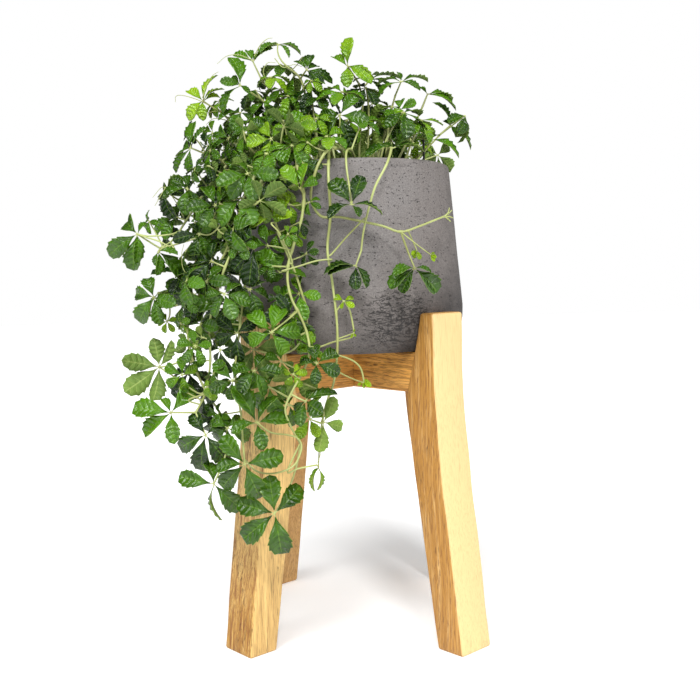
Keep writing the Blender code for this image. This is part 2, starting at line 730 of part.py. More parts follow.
def leg_clearance(place):
    """How far a place stays outside the legs, in metres, measured on their outer faces."""
    if place.z > LEG_OUTER[-1][1] * MM + CLEAR:
        return 1.0
    outer = LEG_OUTER[-1][0]
    for (far, low), (near, high) in zip(LEG_OUTER, LEG_OUTER[1:]):
        if low * MM <= place.z <= high * MM:
            outer = far + (near - far) * (place.z / MM - low) / (high - low)
    best = 1.0
    for direction in (45, 135, 225, 315):
        turn = math.radians(direction)
        out = place.x * math.cos(turn) + place.y * math.sin(turn)
        side = abs(place.y * math.cos(turn) - place.x * math.sin(turn))
        if out < MORTISE_START:
            continue
        best = min(best, max(out - outer * MM, side - LEG_WIDTH / 2))
    return best


def stands_clear(corners):
    """True where no corner of a shape is in or near the pot, its rim or the legs."""
    for corner in corners:
        if min(pot_clearance(corner), leg_clearance(corner)) < CLEAR:
            return False
    return True


def place_leaf(leaf, route, lean, others, own_leaves):
    """Finds the nearest clear place for a leaf: a step towards or away from the viewer, a
    turn in its own plane, or a smaller blade. Returns its blade and stalk, or None."""
    x, y, z, reach, clock, look, outline = leaf[:7]
    via = point(*leaf[7]) if len(leaf) > 7 else None
    for scale, turn in ((1.0, 0), (1.0, 14), (1.0, -14), (0.86, 0), (0.86, 20), (0.74, -10)):
        for shift in (0, -5, 5, -10, 10, -15, 15, -20):
            hub = point(x, y + shift, z)
            upper = leaf_axes(look, clock + turn, lean)[0]
            fat = leaf_blade(hub + upper * FAT_LIFT, reach * scale, clock + turn, look,
                             outline, lean, FAT_BLADE)
            if not stands_clear(fat[0]):
                continue
            stalk = stalk_points(route, hub, upper, via)
            if not stands_clear(stalk[1:]):
                continue
            if touches(fat, others) or touches(fat, own_leaves):
                continue
            if touches(prism(stalk, FAT_STALK), others):
                continue
            blade = leaf_blade(hub, reach * scale, clock + turn, look, outline, lean, BLADE)
            return dict(hub=hub, upper=upper, blade=blade, fat=fat, stalk=stalk)
    return None


def back_vine(number, direction, distance, arch, lowest, draw):
    """Route and leaves of a vine that hangs over the pot's far side."""
    angle = math.radians(direction)
    out = Vector((math.cos(angle), math.sin(angle)))
    root = out * distance
    rise = out * (distance + 16)
    rim = out * BACK_RIM
    over = out * BACK_FALL
    hang = out * BACK_HANG
    low = out * BACK_LOW
    route = [(rise.x, rise.y, arch - 14), (rim.x, rim.y, arch - 2)]
    route.append((over.x, over.y, arch - 16))
    route.append((hang.x, hang.y, (arch + lowest) / 2 - 8))
    route.append((low.x, low.y, lowest))
    leaves = []
    for step, share in enumerate(BACK_LEAF_SHARES):
        spot = share * (len(route) - 1)
        index = min(int(spot), len(route) - 2)
        part = spot - index
        base = Vector(route[index]).lerp(Vector(route[index + 1]), part)
        swing = angle + math.radians(BACK_LEAF_SWING if (step + number) % 2 else -BACK_LEAF_SWING)
        side = Vector((math.cos(swing), math.sin(swing), 0.25))
        hub = base + side * draw.uniform(*BACK_LEAF_OUT)
        look = Vector((out.x, out.y, 0.55 + 0.5 * (step == 0)))
        clock = draw.uniform(200, 340)
        reach = draw.uniform(*BACK_LEAF_REACH)
        leaves.append((hub.x, hub.y, hub.z, reach, clock, tuple(look), BUD))
    return dict(root=(root.x, root.y), route=route, leaves=leaves)


def all_vines():
    """Every vine's plan: the hand-placed ones, then those grown by rule."""
    draw = random.Random(SEED)
    plans = dict(VINES)
    for number, (direction, distance, arch, lowest) in enumerate(BACK_VINES):
        name = f"vine_back_{number + 1}"
        plans[name] = back_vine(number, direction, distance, arch, lowest, draw)
    return plans


def full_route(plan):
    """Stem points from the bottom of the soil hole to the tip."""
    x, y = plan["root"]
    level = SOIL_TOP / MM
    foot = [(x, y, level - ROOT_DEPTH / MM), (x, y, level + 3)]
    return [point(*place) for place in foot + plan["route"]]


def grow(plans):
    """Places every leaf so that no vine crosses another. Returns {vine: (route, leaves)}."""
    draw = random.Random(SEED + 1)
    routes = {name: full_route(plan) for name, plan in plans.items()}
    stems = {name: prism(route, FAT_STEM) for name, route in routes.items()}
    taken = {name: [] for name in plans}
    grown = {}
    for name, plan in plans.items():
        others = [shape for other, shape in stems.items() if other != name]
        for other in taken:
            if other != name:
                others += taken[other]
        others = tree_of(others)
        own_leaves = []
        kept = []
        for leaf in plan["leaves"]:
            lean = Vector((draw.uniform(-0.2, 0.2), draw.uniform(-0.1, 0.1),
                           draw.uniform(-0.2, 0.2)))
            placed = place_leaf(leaf, routes[name], lean, others, tree_of(own_leaves))
            if placed is None:
                continue
            kept.append(placed)
            own_leaves.append(placed["fat"])
            taken[name].append(placed["fat"])
            taken[name].append(prism(placed["stalk"], FAT_STALK))
        grown[name] = (routes[name], kept)
    return grown


def make_vine(name, route, leaves, group, material):
    """One leafy vine: its stem and its leaves, joined by a single union."""
    loose = new_collection(name + "_pieces")
    stem = tube(name, route, STEM_ROOT, STEM_TIP, group)
    for index, leaf in enumerate(leaves):
        corners, faces = with_stalk(leaf["blade"], leaf["hub"], leaf["upper"], leaf["stalk"])
        mesh = bpy.data.meshes.new(f"{name}_leaf_{index}")
        mesh.from_pydata(corners, [], faces)
        bm = bmesh.new()
        bm.from_mesh(mesh)
        bmesh.ops.recalc_face_normals(bm, faces=bm.faces)
        bm.to_mesh(mesh)
        bm.free()
        loose.objects.link(bpy.data.objects.new(mesh.name, mesh))
    boolean(stem, "UNION", loose, "MANIFOLD")
    vine = baked(stem)
    for item in list(loose.objects):
        bpy.data.objects.remove(item, do_unlink=True)
    bpy.data.collections.remove(loose)
    finish(vine, material)
    return vine


def main():
    remove_everything()
    group = new_collection("potted_miniature_grape_ivy")
    cutters = new_collection("cutters")
    clay = new_material("fibre_clay", (0.20, 0.19, 0.18), 0.85)
    plastic = new_material("black_plastic", (0.012, 0.012, 0.013), 0.45)
    strap_plastic = new_material("strap_plastic", (0.010, 0.010, 0.011), 0.40)
    earth = new_material("soil", (0.030, 0.020, 0.013), 0.95)

    plans = all_vines()
    holes = [plan["root"] for plan in plans.values()]
    make_pot(group, clay)
    make_grow_pot(group, plastic)
    make_strap(group, strap_plastic)
    make_soil(group, cutters, earth, holes)
    corners = dict(leg_back_right=45, leg_back_left=135, leg_front_left=225, leg_front_right=315)
    for name, direction in corners.items():
        wood = new_material(name + "_wood", (0.62, 0.36, 0.15), 0.55)
        make_leg(name, direction, group, cutters, wood)
    for name, direction, notch_low in (("cross_bar_a", 45, True), ("cross_bar_b", 135, False)):
        wood = new_material(name + "_wood", (0.55, 0.30, 0.13), 0.55)
        make_bar(name, direction, notch_low, group, cutters, wood)
    for index, (name, (route, leaves)) in enumerate(grow(plans).items()):
        shade = 0.8 + 0.05 * (index % 5)
        green = new_material(name + "_green", (0.05 * shade, 0.16 * shade, 0.03), 0.45)
        make_vine(name, route, leaves, group, green)

    axis = bpy.data.objects.new("pot_axis", None)
    group.objects.link(axis)
    for item in list(group.objects) + list(cutters.objects):
        if item is not axis:
            item.parent = axis
    axis.location = (AXIS_X, AXIS_Y, 0.0)


main()
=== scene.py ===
# %% [markdown]
# # A potted miniature grape ivy on a wooden stand
#
# A small-leaved grape ivy spills over the left side of a grey-brown fibre-clay pot, and a
# wooden stand with four splayed legs carries the pot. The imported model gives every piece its
# place and size. This lesson dresses it: it models the clay wall with its pits, the sawn wood,
# the soil, and finer stems and leaves, and it gives each a material that is made of nodes alone.

import math
import random

import bmesh
import bpy
from mathutils import Matrix, Vector, noise


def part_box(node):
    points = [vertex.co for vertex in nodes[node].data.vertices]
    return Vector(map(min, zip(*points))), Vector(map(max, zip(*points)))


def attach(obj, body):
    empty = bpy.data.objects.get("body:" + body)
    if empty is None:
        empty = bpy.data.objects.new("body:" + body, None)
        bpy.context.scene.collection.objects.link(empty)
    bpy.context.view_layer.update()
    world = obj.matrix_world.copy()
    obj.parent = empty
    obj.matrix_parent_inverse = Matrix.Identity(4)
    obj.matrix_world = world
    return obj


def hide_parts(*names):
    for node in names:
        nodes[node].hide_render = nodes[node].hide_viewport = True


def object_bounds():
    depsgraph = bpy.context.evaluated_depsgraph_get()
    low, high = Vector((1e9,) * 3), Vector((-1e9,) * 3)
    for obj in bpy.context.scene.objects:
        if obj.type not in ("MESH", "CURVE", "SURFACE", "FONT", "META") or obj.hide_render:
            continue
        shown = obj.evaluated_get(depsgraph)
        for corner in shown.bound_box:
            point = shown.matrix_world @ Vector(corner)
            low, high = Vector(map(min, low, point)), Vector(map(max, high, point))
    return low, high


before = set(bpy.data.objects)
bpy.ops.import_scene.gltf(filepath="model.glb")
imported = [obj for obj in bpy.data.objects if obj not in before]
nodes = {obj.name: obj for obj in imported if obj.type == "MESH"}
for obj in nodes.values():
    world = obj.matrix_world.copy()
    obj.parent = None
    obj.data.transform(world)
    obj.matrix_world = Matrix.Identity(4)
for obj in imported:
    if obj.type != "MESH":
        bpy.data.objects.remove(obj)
cad_low, cad_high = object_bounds()
print(f"the packed model has {len(nodes)} nodes and is {cad_high.z - cad_low.z:.3f} m high")

# %% [markdown]
# Every place below is measured from the pot's own axis, in millimetres, as a florist would
# measure it: x to the right, y away from the viewer, z up from the floor.

# %% Measure from the pot's axis
MM = 0.001
pot_low, pot_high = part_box("pot")
POT_AXIS = Vector(((pot_low.x + pot_high.x) / 2, (pot_low.y + pot_high.y) / 2, 0.0))


def spot(x, y, z):
    """A place in millimetres from the pot's axis, as metres in the model's frame."""
    return POT_AXIS + Vector((x, y, z)) * MM


print(f"the pot's axis stands at x {POT_AXIS.x:.4f}, y {POT_AXIS.y:.4f}")

# %% [markdown]
# The camera comes first, because every later choice is judged through it. It looks slightly
# down and a little to the left, and it is rolled by just over a degree, as a hand-held one is.

# %% Set up the camera
CAMERA_PLACE = (31.3, -842.0, 301.9)
CAMERA_HEADING = 2.38
CAMERA_TILT = -4.37
CAMERA_ROLL = -1.37
CAMERA_LENS = 48.92
CAMERA_SENSOR = 36.0

camera_data = bpy.data.cameras.new("camera")
camera_data.sensor_width = CAMERA_SENSOR
camera_data.lens = CAMERA_LENS
camera = bpy.data.objects.new("camera", camera_data)
bpy.context.scene.collection.objects.link(camera)
camera.matrix_world = (
    Matrix.Translation(spot(*CAMERA_PLACE))
    @ Matrix.Rotation(math.radians(CAMERA_HEADING), 4, "Z")
    @ Matrix.Rotation(math.radians(90 + CAMERA_TILT), 4, "X")
    @ Matrix.Rotation(math.radians(CAMERA_ROLL), 4, "Z")
)
bpy.context.scene.camera = camera
print(f"the camera's lens is {camera_data.lens} mm")

# %% [markdown]
# A product picture has no horizon, so the world is pure white where the camera looks at it.
# As a source of light it is weaker, and weaker still in mirror images, because a white world
# mirrored in every glossy leaf would wash out its green. Three suns with wide discs act as
# softboxes: the main one high at the left, a smaller one near the camera that draws the sheen
# on the leaves, and a low one at the right that brightens the wood facing it.

# %% Light the set
bpy.context.scene.view_settings.view_transform = "Standard"
WORLD_LIGHT = 0.33
WORLD_MIRRORED = 0.08

world = bpy.data.worlds.new("studio")
world.use_nodes = True
bpy.context.scene.world = world
world_nodes = world.node_tree.nodes
world_nodes["Background"].inputs["Color"].default_value = (1.0, 1.0, 1.0, 1.0)
light_path = world_nodes.new("ShaderNodeLightPath").outputs
mirrored = world_nodes.new("ShaderNodeMapRange")
mirrored.inputs["To Min"].default_value = WORLD_LIGHT
mirrored.inputs["To Max"].default_value = WORLD_MIRRORED
seen_directly = world_nodes.new("ShaderNodeMapRange")
seen_directly.inputs["To Max"].default_value = 1.0
for start, end in ((light_path["Is Glossy Ray"], mirrored.inputs["Value"]),
                   (light_path["Is Camera Ray"], seen_directly.inputs["Value"]),
                   (mirrored.outputs["Result"], seen_directly.inputs["To Min"]),
                   (seen_directly.outputs["Result"], world_nodes["Background"].inputs["Strength"])):
    world.node_tree.links.new(start, end)


def soft_sun(name, heading, height, disc, strength):
    """A sun seen from the pot at a heading right of the viewer and a height, in degrees."""
    sun_data = bpy.data.lights.new(name, "SUN")
    sun_data.angle = math.radians(disc)
    sun_data.energy = strength
    sun = bpy.data.objects.new(name, sun_data)
    bpy.context.scene.collection.objects.link(sun)
    turn = math.radians(heading)
    rise = math.radians(height)
    way = Vector((math.sin(turn) * math.cos(rise), -math.cos(turn) * math.cos(rise),
                  math.sin(rise)))
    sun.rotation_euler = (-way).to_track_quat("-Z", "Y").to_euler()


soft_sun("main_sun", heading=-24, height=56, disc=26, strength=2.45)
soft_sun("sheen_sun", heading=12, height=42, disc=12, strength=1.75)
soft_sun("side_sun", heading=60, height=14, disc=40, strength=0.6)
print("three soft suns and a white world")

# %% [markdown]
# Operators act on whatever is selected, so a primitive is added with nothing else selected, and
# each piece is made the only selected one before it is worked on. A finished piece keeps no
# transform and no modifier of its own.

# %% Helpers for starting and finishing a piece
def start_piece(name, add_primitive, location=(0.0, 0.0, 0.0), **settings):
    """Adds a primitive with nothing else selected, and names it."""
    bpy.ops.object.select_all(action="DESELECT")
    add_primitive(location=location, **settings)
    piece = bpy.context.active_object
    piece.name = name
    return piece


def select_only(piece):
    bpy.ops.object.select_all(action="DESELECT")
    piece.select_set(True)
    bpy.context.view_layer.objects.active = piece


def apply_modifiers(piece):
    select_only(piece)
    for modifier in list(piece.modifiers):
        bpy.ops.object.modifier_apply(modifier=modifier.name)


def settle(piece):
    """Moves the piece's place, turn and size into its mesh."""
    select_only(piece)
    bpy.ops.object.transform_apply(location=True, rotation=True, scale=True)


def bevel_edges(piece, width, segments, angle):
    """Rounds the edges that turn by more than an angle in degrees, by a width in millimetres."""
    bevel = piece.modifiers.new("Bevel", "BEVEL")
    bevel.width = width * MM
    bevel.segments = segments
    bevel.limit_method = "ANGLE"
    bevel.angle_limit = math.radians(angle)
    apply_modifiers(piece)


def paint(piece, material):
    piece.data.materials.clear()
    piece.data.materials.append(material)


def finish_piece(piece, material, node):
    """Gives a piece its material, its body and the node that it stands for."""
    paint(piece, material)
    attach(piece, "root")
    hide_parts(node)


# %% [markdown]
# A material is a graph of nodes. Short helpers keep the graphs readable. The first adds a node
# and fills its sockets from numbers or from other nodes, and the rest stand for the few nodes
# that come back again and again: a ramp, a mix, a sum, a noise, a fade, a stored value, a bump.

# %% Helpers for materials
def new_material(name, **sockets):
    """A Principled material. Returns the material and its shader."""
    material = bpy.data.materials.new(name)
    material.use_nodes = True
    shader = material.node_tree.nodes["Principled BSDF"]
    for socket, value in sockets.items():
        shader.inputs[socket.replace("_", " ").title()].default_value = value
    return material, shader


def add(material, kind, inputs=None, **settings):
    """Adds a node. An input that is a socket is linked, and any other is set."""
    made = material.node_tree.nodes.new(kind)
    for name, value in settings.items():
        setattr(made, name, value)
    for name, value in (inputs or {}).items():
        if isinstance(value, bpy.types.NodeSocket):
            material.node_tree.links.new(value, made.inputs[name])
        else:
            made.inputs[name].default_value = value
    return made


def wire(material, start, end):
    material.node_tree.links.new(start, end)


def ramp(material, factor, *stops):
    """A colour ramp through (place, colour) stops. A number as colour gives a grey."""
    made = add(material, "ShaderNodeValToRGB", {"Fac": factor})
    marks = made.color_ramp.elements
    while len(marks) < len(stops):
        marks.new(1.0)
    for mark, (place, color) in zip(marks, stops):
        mark.position = place
        if not isinstance(color, tuple):
            color = (color, color, color)
        mark.color = (*color, 1.0)
    return made.outputs["Color"]


def blend(material, factor, first, second, mode="MIX"):
    """Mixes two colours, each a socket or a tuple."""
    made = add(material, "ShaderNodeMix", data_type="RGBA", blend_type=mode)
    for index, value in ((0, factor), (6, first), (7, second)):
        if isinstance(value, bpy.types.NodeSocket):
            wire(material, value, made.inputs[index])
        elif index == 0:
            made.inputs[index].default_value = value
        else:
            made.inputs[index].default_value = (*value, 1.0)
    return made.outputs[2]


def compute(material, operation, first, second=0.0, third=0.0, clamp=False):
    """A Math node on numbers or sockets."""
    inputs = {0: first, 1: second, 2: third}
    return add(material, "ShaderNodeMath", inputs, operation=operation, use_clamp=clamp).outputs[0]


def times(material, first, second):
    return compute(material, "MULTIPLY", first, second)


def less(material, first, second, clamp=False):
    return compute(material, "SUBTRACT", first, second, clamp=clamp)


def from_half(material, value):
    """How far a value lies from a half."""
    return compute(material, "ABSOLUTE", less(material, value, 0.5))


def fade(material, value, start, end):
    """0 where the value is at start or before it, 1 at end and beyond, even in between."""
    inputs = {"Value": value, "From Min": start, "From Max": end}
    return add(material, "ShaderNodeMapRange", inputs).outputs[0]


def own_place(material):
    """The piece's own coordinates, in metres."""
    return add(material, "ShaderNodeTexCoord").outputs["Object"]


def stored(material, name, socket="Fac"):
    """A value that the mesh carries at each of its points or faces."""
    return add(material, "ShaderNodeAttribute", attribute_name=name).outputs[socket]


def axes(material, place):
    return add(material, "ShaderNodeSeparateXYZ", {0: place}).outputs


def cloud(material, place, scale, detail=3.0, roughness=0.55, distortion=0.0):
    """A noise texture's grey value."""
    inputs = {"Vector": place, "Scale": scale, "Detail": detail, "Roughness": roughness,
              "Distortion": distortion}
    return add(material, "ShaderNodeTexNoise", inputs).outputs["Fac"]


def stretched(material, place, scale):
    """Coordinates scaled along each axis, which draws a pattern out along the smallest."""
    return add(material, "ShaderNodeMapping", {"Vector": place, "Scale": scale}).outputs["Vector"]


def raised(material, shader, height, distance):
    """Bump from a grey height, of a depth in metres."""
    bump = add(material, "ShaderNodeBump", {"Height": height, "Distance": distance})
    wire(material, bump.outputs["Normal"], shader.inputs["Normal"])


# %% [markdown]
# The floor is one large plane. It isn't part of the object. Like a light table it glows a little, which
# keeps it white and the shadows as faint as in a catalogue picture.

# %% Lay the floor
FLOOR_SIZE = 12.0
FLOOR_GLOW = 0.30

floor = start_piece("floor", bpy.ops.mesh.primitive_plane_add, size=FLOOR_SIZE)
floor_paint, floor_shader = new_material("floor_paint", roughness=0.9)
floor_tone = cloud(floor_paint, own_place(floor_paint), 3.0)
wire(floor_paint, ramp(floor_paint, floor_tone, (0.3, 0.84), (0.7, 0.86)),
     floor_shader.inputs["Base Color"])
floor_shader.inputs["Emission Color"].default_value = (1.0, 1.0, 1.0, 1.0)
floor_shader.inputs["Emission Strength"].default_value = FLOOR_GLOW
paint(floor, floor_paint)
print("one pale floor")

# %% [markdown]
# Fibre clay is cast in a mould and rubbed down. Small air bubbles open as pits, many of them drawn out
# sideways, and they crowd in bands. The larger pits are modelled in the mesh, so that they catch the light
# and show at the wall's edge. One function says how deep the wall is sunk at any place, and the material
# also uses it to paint shade into the pits.

# %% Describe the clay's relief
PIT_DEPTH = 1.0
# Cracks as (x, z) ends in the front view, and the rough patch at the lower right
CRACKS = [((11, 321.5), (19, 320.0)), ((19, 320.0), (28, 321.5)), ((-14, 309), (-4, 310)),
          ((34, 389), (56, 389.5)), ((38, 388), (45, 375)), ((12, 343), (13, 262))]
ROUGH_X = 38.0
ROUGH_Z = 268.0
ROUGH_WIDE = 30.0
ROUGH_HIGH = 26.0
CRACK_WIDE = 0.9


def cell_pits(place, size, flatness, fill):
    """Pits of one size: 1 in the middle of a pit, 0 outside. fill is the share that is open."""
    cell = Vector((place.x / size, place.y / size, place.z * flatness / size))
    near, centers = noise.voronoi(cell)
    if noise.cell(centers[0] * 7.3) > fill:
        return 0.0
    radius = 0.16 + 0.20 * noise.cell(centers[0] * 3.1)
    ragged = near[0] + 0.16 * noise.noise(cell * 4.0)
    return max(0.0, min(1.0, (radius - ragged) / 0.12))


def to_segment(point, start, end):
    """Distance in a flat drawing from a point to a line's stretch."""
    step = (end[0] - start[0], end[1] - start[1])
    share = (point[0] - start[0]) * step[0] + (point[1] - start[1]) * step[1]
    share = max(0.0, min(1.0, share / (step[0] ** 2 + step[1] ** 2)))
    return math.hypot(point[0] - start[0] - share * step[0], point[1] - start[1] - share * step[1])


def clay_pit(place):
    """How open the clay's skin is at a place in millimetres from the axis, from 0 to 1."""
    patch = noise.noise(place * 0.022) * 0.5 + 0.5
    if place.y < 0:
        beside = (place.x - ROUGH_X) / ROUGH_WIDE
        above = (place.z - ROUGH_Z) / ROUGH_HIGH
        rough = math.exp(-beside ** 2 - above ** 2)
    else:
        rough = 0.8 * max(0.0, patch - 0.55)
    pit = cell_pits(place, 7.5, 3.2, 0.05 + 0.10 * patch + 0.45 * rough) * (0.6 + 0.4 * rough)
    warp = Vector((noise.noise(place * 0.09), 0.0, noise.noise(place * 0.07 + Vector((9, 2, 4)))))
    torn = Vector((place.x * 0.085, place.y * 0.085, place.z * 0.27)) + warp * 1.1
    vein = 1.0 - abs(noise.noise(torn)) / 0.075
    pit = max(pit, max(0.0, vein) * min(1.0, 1.7 * max(0.0, rough - 0.25)))
    if place.y < 0:
        wobble = noise.noise(place * 0.35) * 1.1
        for start, end in CRACKS:
            upright = abs(end[1] - start[1]) > abs(end[0] - start[0])
            bent = (place.x + wobble * 0.5, place.z) if upright else (place.x, place.z + wobble)
            gap = to_segment(bent, start, end)
            pit = max(pit, max(0.0, 1.0 - gap / CRACK_WIDE) * (0.22 if upright else 0.6))
    return pit


# %% [markdown]
# A pot is a turned shape. A circle's corners become the profile, from the middle of the inside
# floor, up the inner wall, over the rim and down to the middle of the underside, and Spin
# turns that line once round the axis. Spin leaves a seam, which Merge by Distance closes.

# %% Turn the pot
POT_HEIGHT = (pot_high.z - pot_low.z) / MM
POT_BASE = pot_low.z / MM
POT_RIM = 86.0
POT_WAIST = 96.3
POT_WAIST_HEIGHT = 276.0
POT_FOOT = 83.0
POT_WALL = 9.0
POT_FLOOR = 12.0
POT_LIP = 3.5
POT_HEEL = 8.0
POT_SIDES = 420
WALL_RINGS = 96
FOOT_RINGS = 20
FOOT_FULLNESS = 0.75


def turn_profile(name, profile, sides):
    """Spins a line of (radius, height) in millimetres once round the pot's axis."""
    piece = start_piece(name, bpy.ops.mesh.primitive_circle_add, vertices=len(profile), radius=1.0)
    mesh = bmesh.new()
    mesh.from_mesh(piece.data)
    mesh.verts.ensure_lookup_table()
    closing = mesh.edges.get((mesh.verts[0], mesh.verts[-1]))
    mesh.edges.remove(closing)
    for corner, (radius, height) in zip(mesh.verts, profile):
        corner.co = Vector((radius, 0.0, height)) * MM
    mesh.to_mesh(piece.data)
    mesh.free()
    bpy.ops.object.mode_set(mode="EDIT")
    bpy.ops.mesh.select_all(action="SELECT")
    bpy.ops.mesh.spin(steps=sides, angle=math.tau, center=(0, 0, 0), axis=(0, 0, 1))
    bpy.ops.mesh.select_all(action="SELECT")
    bpy.ops.mesh.remove_doubles(threshold=0.00002)
    bpy.ops.mesh.normals_make_consistent(inside=False)
    bpy.ops.object.mode_set(mode="OBJECT")
    return piece


def rounding(radius, height, size, start, end, count):
    """Points on a round of a profile, from one direction in degrees to another."""
    points = []
    for step in range(count + 1):
        angle = math.radians(start + (end - start) * step / count)
        points.append((radius + size * math.cos(angle), height + size * math.sin(angle)))
    return points


def pot_profile():
    top = POT_BASE + POT_HEIGHT
    lip = POT_LIP
    points = [(0.0, POT_BASE + POT_FLOOR), (POT_FOOT - POT_WALL, POT_BASE + POT_FLOOR),
              (POT_WAIST - POT_WALL, POT_WAIST_HEIGHT)]
    points += rounding(POT_RIM - POT_WALL + lip, top - lip, lip, 180, 90, 5)
    points += rounding(POT_RIM - lip, top - lip, lip, 90, 4, 6)
    for ring in range(1, WALL_RINGS):
        share = ring / WALL_RINGS
        height = top - lip + (POT_WAIST_HEIGHT - top + lip) * share
        points.append((POT_RIM + (POT_WAIST - POT_RIM) * share, height))
    for ring in range(FOOT_RINGS + 1):
        angle = math.radians(90 * ring / FOOT_RINGS)
        radius = POT_FOOT + (POT_WAIST - POT_FOOT) * math.cos(angle) ** FOOT_FULLNESS
        points.append((radius, POT_WAIST_HEIGHT - (POT_WAIST_HEIGHT - POT_BASE) * math.sin(angle)))
    return points + [(POT_FOOT - POT_HEEL, POT_BASE), (0.0, POT_BASE)]


pot = turn_profile("clay_pot", pot_profile(), POT_SIDES)
print(f"the turned pot has {len(pot.data.polygons)} faces")

# %% Sink the pits
WALL_BOTTOM = POT_BASE + 3.0


def sink_pits(piece):
    """Sinks the outer wall where the clay is open, and keeps the pit's value as an attribute."""
    pits = piece.data.attributes.new("pit", "FLOAT", "POINT")
    sunk = 0
    for corner in piece.data.vertices:
        place = corner.co / MM
        radius = math.hypot(place.x, place.y)
        if radius < POT_FOOT or place.z < WALL_BOTTOM:
            continue
        value = clay_pit(place)
        swell = noise.noise(place * 0.03) * 0.35 + noise.noise(place * 0.11) * 0.12
        inward = value * PIT_DEPTH - swell * 0.5
        corner.co -= Vector((place.x, place.y, 0.0)) / radius * inward * MM
        pits.data[corner.index].value = value
        sunk += value > 0.5
    return sunk


sunk_corners = sink_pits(pot)
pot.location = POT_AXIS
settle(pot)
bpy.ops.object.shade_smooth()
print(f"{sunk_corners} corners of the wall lie in a pit")

# %% [markdown]
# The clay's colour is a warm grey, paler where it has been rubbed. Painted shade makes it darker and a
# little warmer towards the right and towards the foot. It has fine grit, and pin holes too small to model,
# which are painted dark as painted shade.

# %% Mix the clay
def pores(material, place, scale, size, share):
    """1 in small round pores, one in a share of the cells of a Voronoi pattern, 0 elsewhere."""
    cells = add(material, "ShaderNodeTexVoronoi", {"Vector": place, "Scale": scale})
    chance = add(material, "ShaderNodeSeparateColor", {0: cells.outputs["Color"]}).outputs[0]
    chosen = compute(material, "LESS_THAN", chance, share)
    return times(material, fade(material, cells.outputs["Distance"], size, size * 0.6), chosen)


PATCH_WIDE = 0.034
PATCH_HIGH = 0.030
CLAY_RUBBED = (0.190, 0.176, 0.170)
CLAY_MID = (0.165, 0.147, 0.138)
CLAY_PAINTED_SHADE = (0.027, 0.0225, 0.0212)
PORE_SHADE = (0.026, 0.023, 0.022)
PIT_SHADE = (0.022, 0.020, 0.019)

clay, clay_shader = new_material("clay", roughness=0.80)
clay_place = own_place(clay)
clay_axes = axes(clay, clay_place)
# Painted shade: darker towards the pot's right side and towards its foot, where less light falls
clay_right_shade = fade(clay, clay_axes["X"], POT_AXIS.x + 0.02, POT_AXIS.x + 0.09)
clay_low_shade = fade(clay, clay_axes["Z"], 0.370, 0.225)
clay_painted_shade_and_mottle = compute(clay, "MULTIPLY_ADD", compute(clay, "POWER", clay_low_shade, 2.0), 0.95,
                     times(clay, clay_right_shade, 0.46))
clay_mottle = cloud(clay, clay_place, 30.0, detail=7.0, roughness=0.7)
clay_painted_shade_and_mottle = compute(clay, "ADD", clay_painted_shade_and_mottle, compute(clay, "MULTIPLY_ADD", clay_mottle, 0.9, -0.45))
clay_color = ramp(clay, clay_painted_shade_and_mottle, (0.0, CLAY_RUBBED), (0.40, CLAY_MID), (1.0, CLAY_PAINTED_SHADE))
clay_grit = cloud(clay, clay_place, 1100.0, detail=3.0, roughness=0.7)
clay_color = blend(clay, 0.55, clay_color,
                   ramp(clay, clay_grit, (0.30, 0.2), (0.5, 0.5), (0.72, 0.9)), "OVERLAY")
wide_pores = pores(clay, stretched(clay, clay_place, (1, 1, 2.6)), 200.0, 0.20, 0.34)
fine_pores = pores(clay, clay_place, 430.0, 0.24, 0.45)
clay_pores = compute(clay, "MAXIMUM", wide_pores, times(clay, fine_pores, 0.8))

# The torn patch: 1 in its middle, 0 outside, and only on the front
patch_x = compute(clay, "MULTIPLY_ADD", clay_axes["X"], 1 / PATCH_WIDE,
                  -(POT_AXIS.x + ROUGH_X * MM) / PATCH_WIDE)
patch_z = compute(clay, "MULTIPLY_ADD", clay_axes["Z"], 1 / PATCH_HIGH, -ROUGH_Z * MM / PATCH_HIGH)
patch_far = compute(clay, "SQRT", compute(clay, "MULTIPLY_ADD", patch_x, patch_x,
                                          times(clay, patch_z, patch_z)))
patch = times(clay, less(clay, 1.25, patch_far, clamp=True),
              compute(clay, "LESS_THAN", clay_axes["Y"], POT_AXIS.y))
dashes = cloud(clay, stretched(clay, clay_place, (1, 1, 3.8)), 165.0, detail=4.0, roughness=0.62,
               distortion=0.5)
dashes = compute(clay, "MULTIPLY_ADD", patch, 0.115, dashes)
dashes = ramp(clay, dashes, (0.655, 0.0), (0.685, 1.0))
swirls = cloud(clay, stretched(clay, clay_place, (1, 1, 2.4)), 85.0, detail=3.0, distortion=1.4)
swirls = times(clay, ramp(clay, from_half(clay, swirls), (0.013, 1.0), (0.030, 0.0)),
               ramp(clay, patch, (0.35, 0.0), (0.6, 1.0)))
clay_pores = compute(clay, "MAXIMUM", clay_pores, compute(clay, "MAXIMUM", dashes, swirls))
# Painted shade: the pin holes, dashes and swirling cracks too small to model are darkened as if in shadow
clay_color = blend(clay, times(clay, clay_pores, 0.94), clay_color, PORE_SHADE)
# Painted shade: the modelled pits are darkened as well
clay_pit_shade = ramp(clay, stored(clay, "pit"), (0.15, 0.0), (0.8, 0.85))
clay_color = blend(clay, clay_pit_shade, clay_color, PIT_SHADE)
wire(clay, clay_color, clay_shader.inputs["Base Color"])
raised(clay, clay_shader, less(clay, times(clay, clay_grit, 0.35), clay_pores), 0.0005)
finish_piece(pot, clay, "pot")
print("the pot has its clay")

# %% [markdown]
# The nursery pot is thin injection-moulded plastic with a rolled rim. Its two walls and its
# rim are one turned profile as well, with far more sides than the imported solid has.

# %% Turn the nursery pot
GROW_BASE, GROW_TOP = [corner.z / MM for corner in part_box("grow_pot")]
GROW_RIM = 72.5
GROW_FOOT = 56.0
GROW_WALL = 1.6


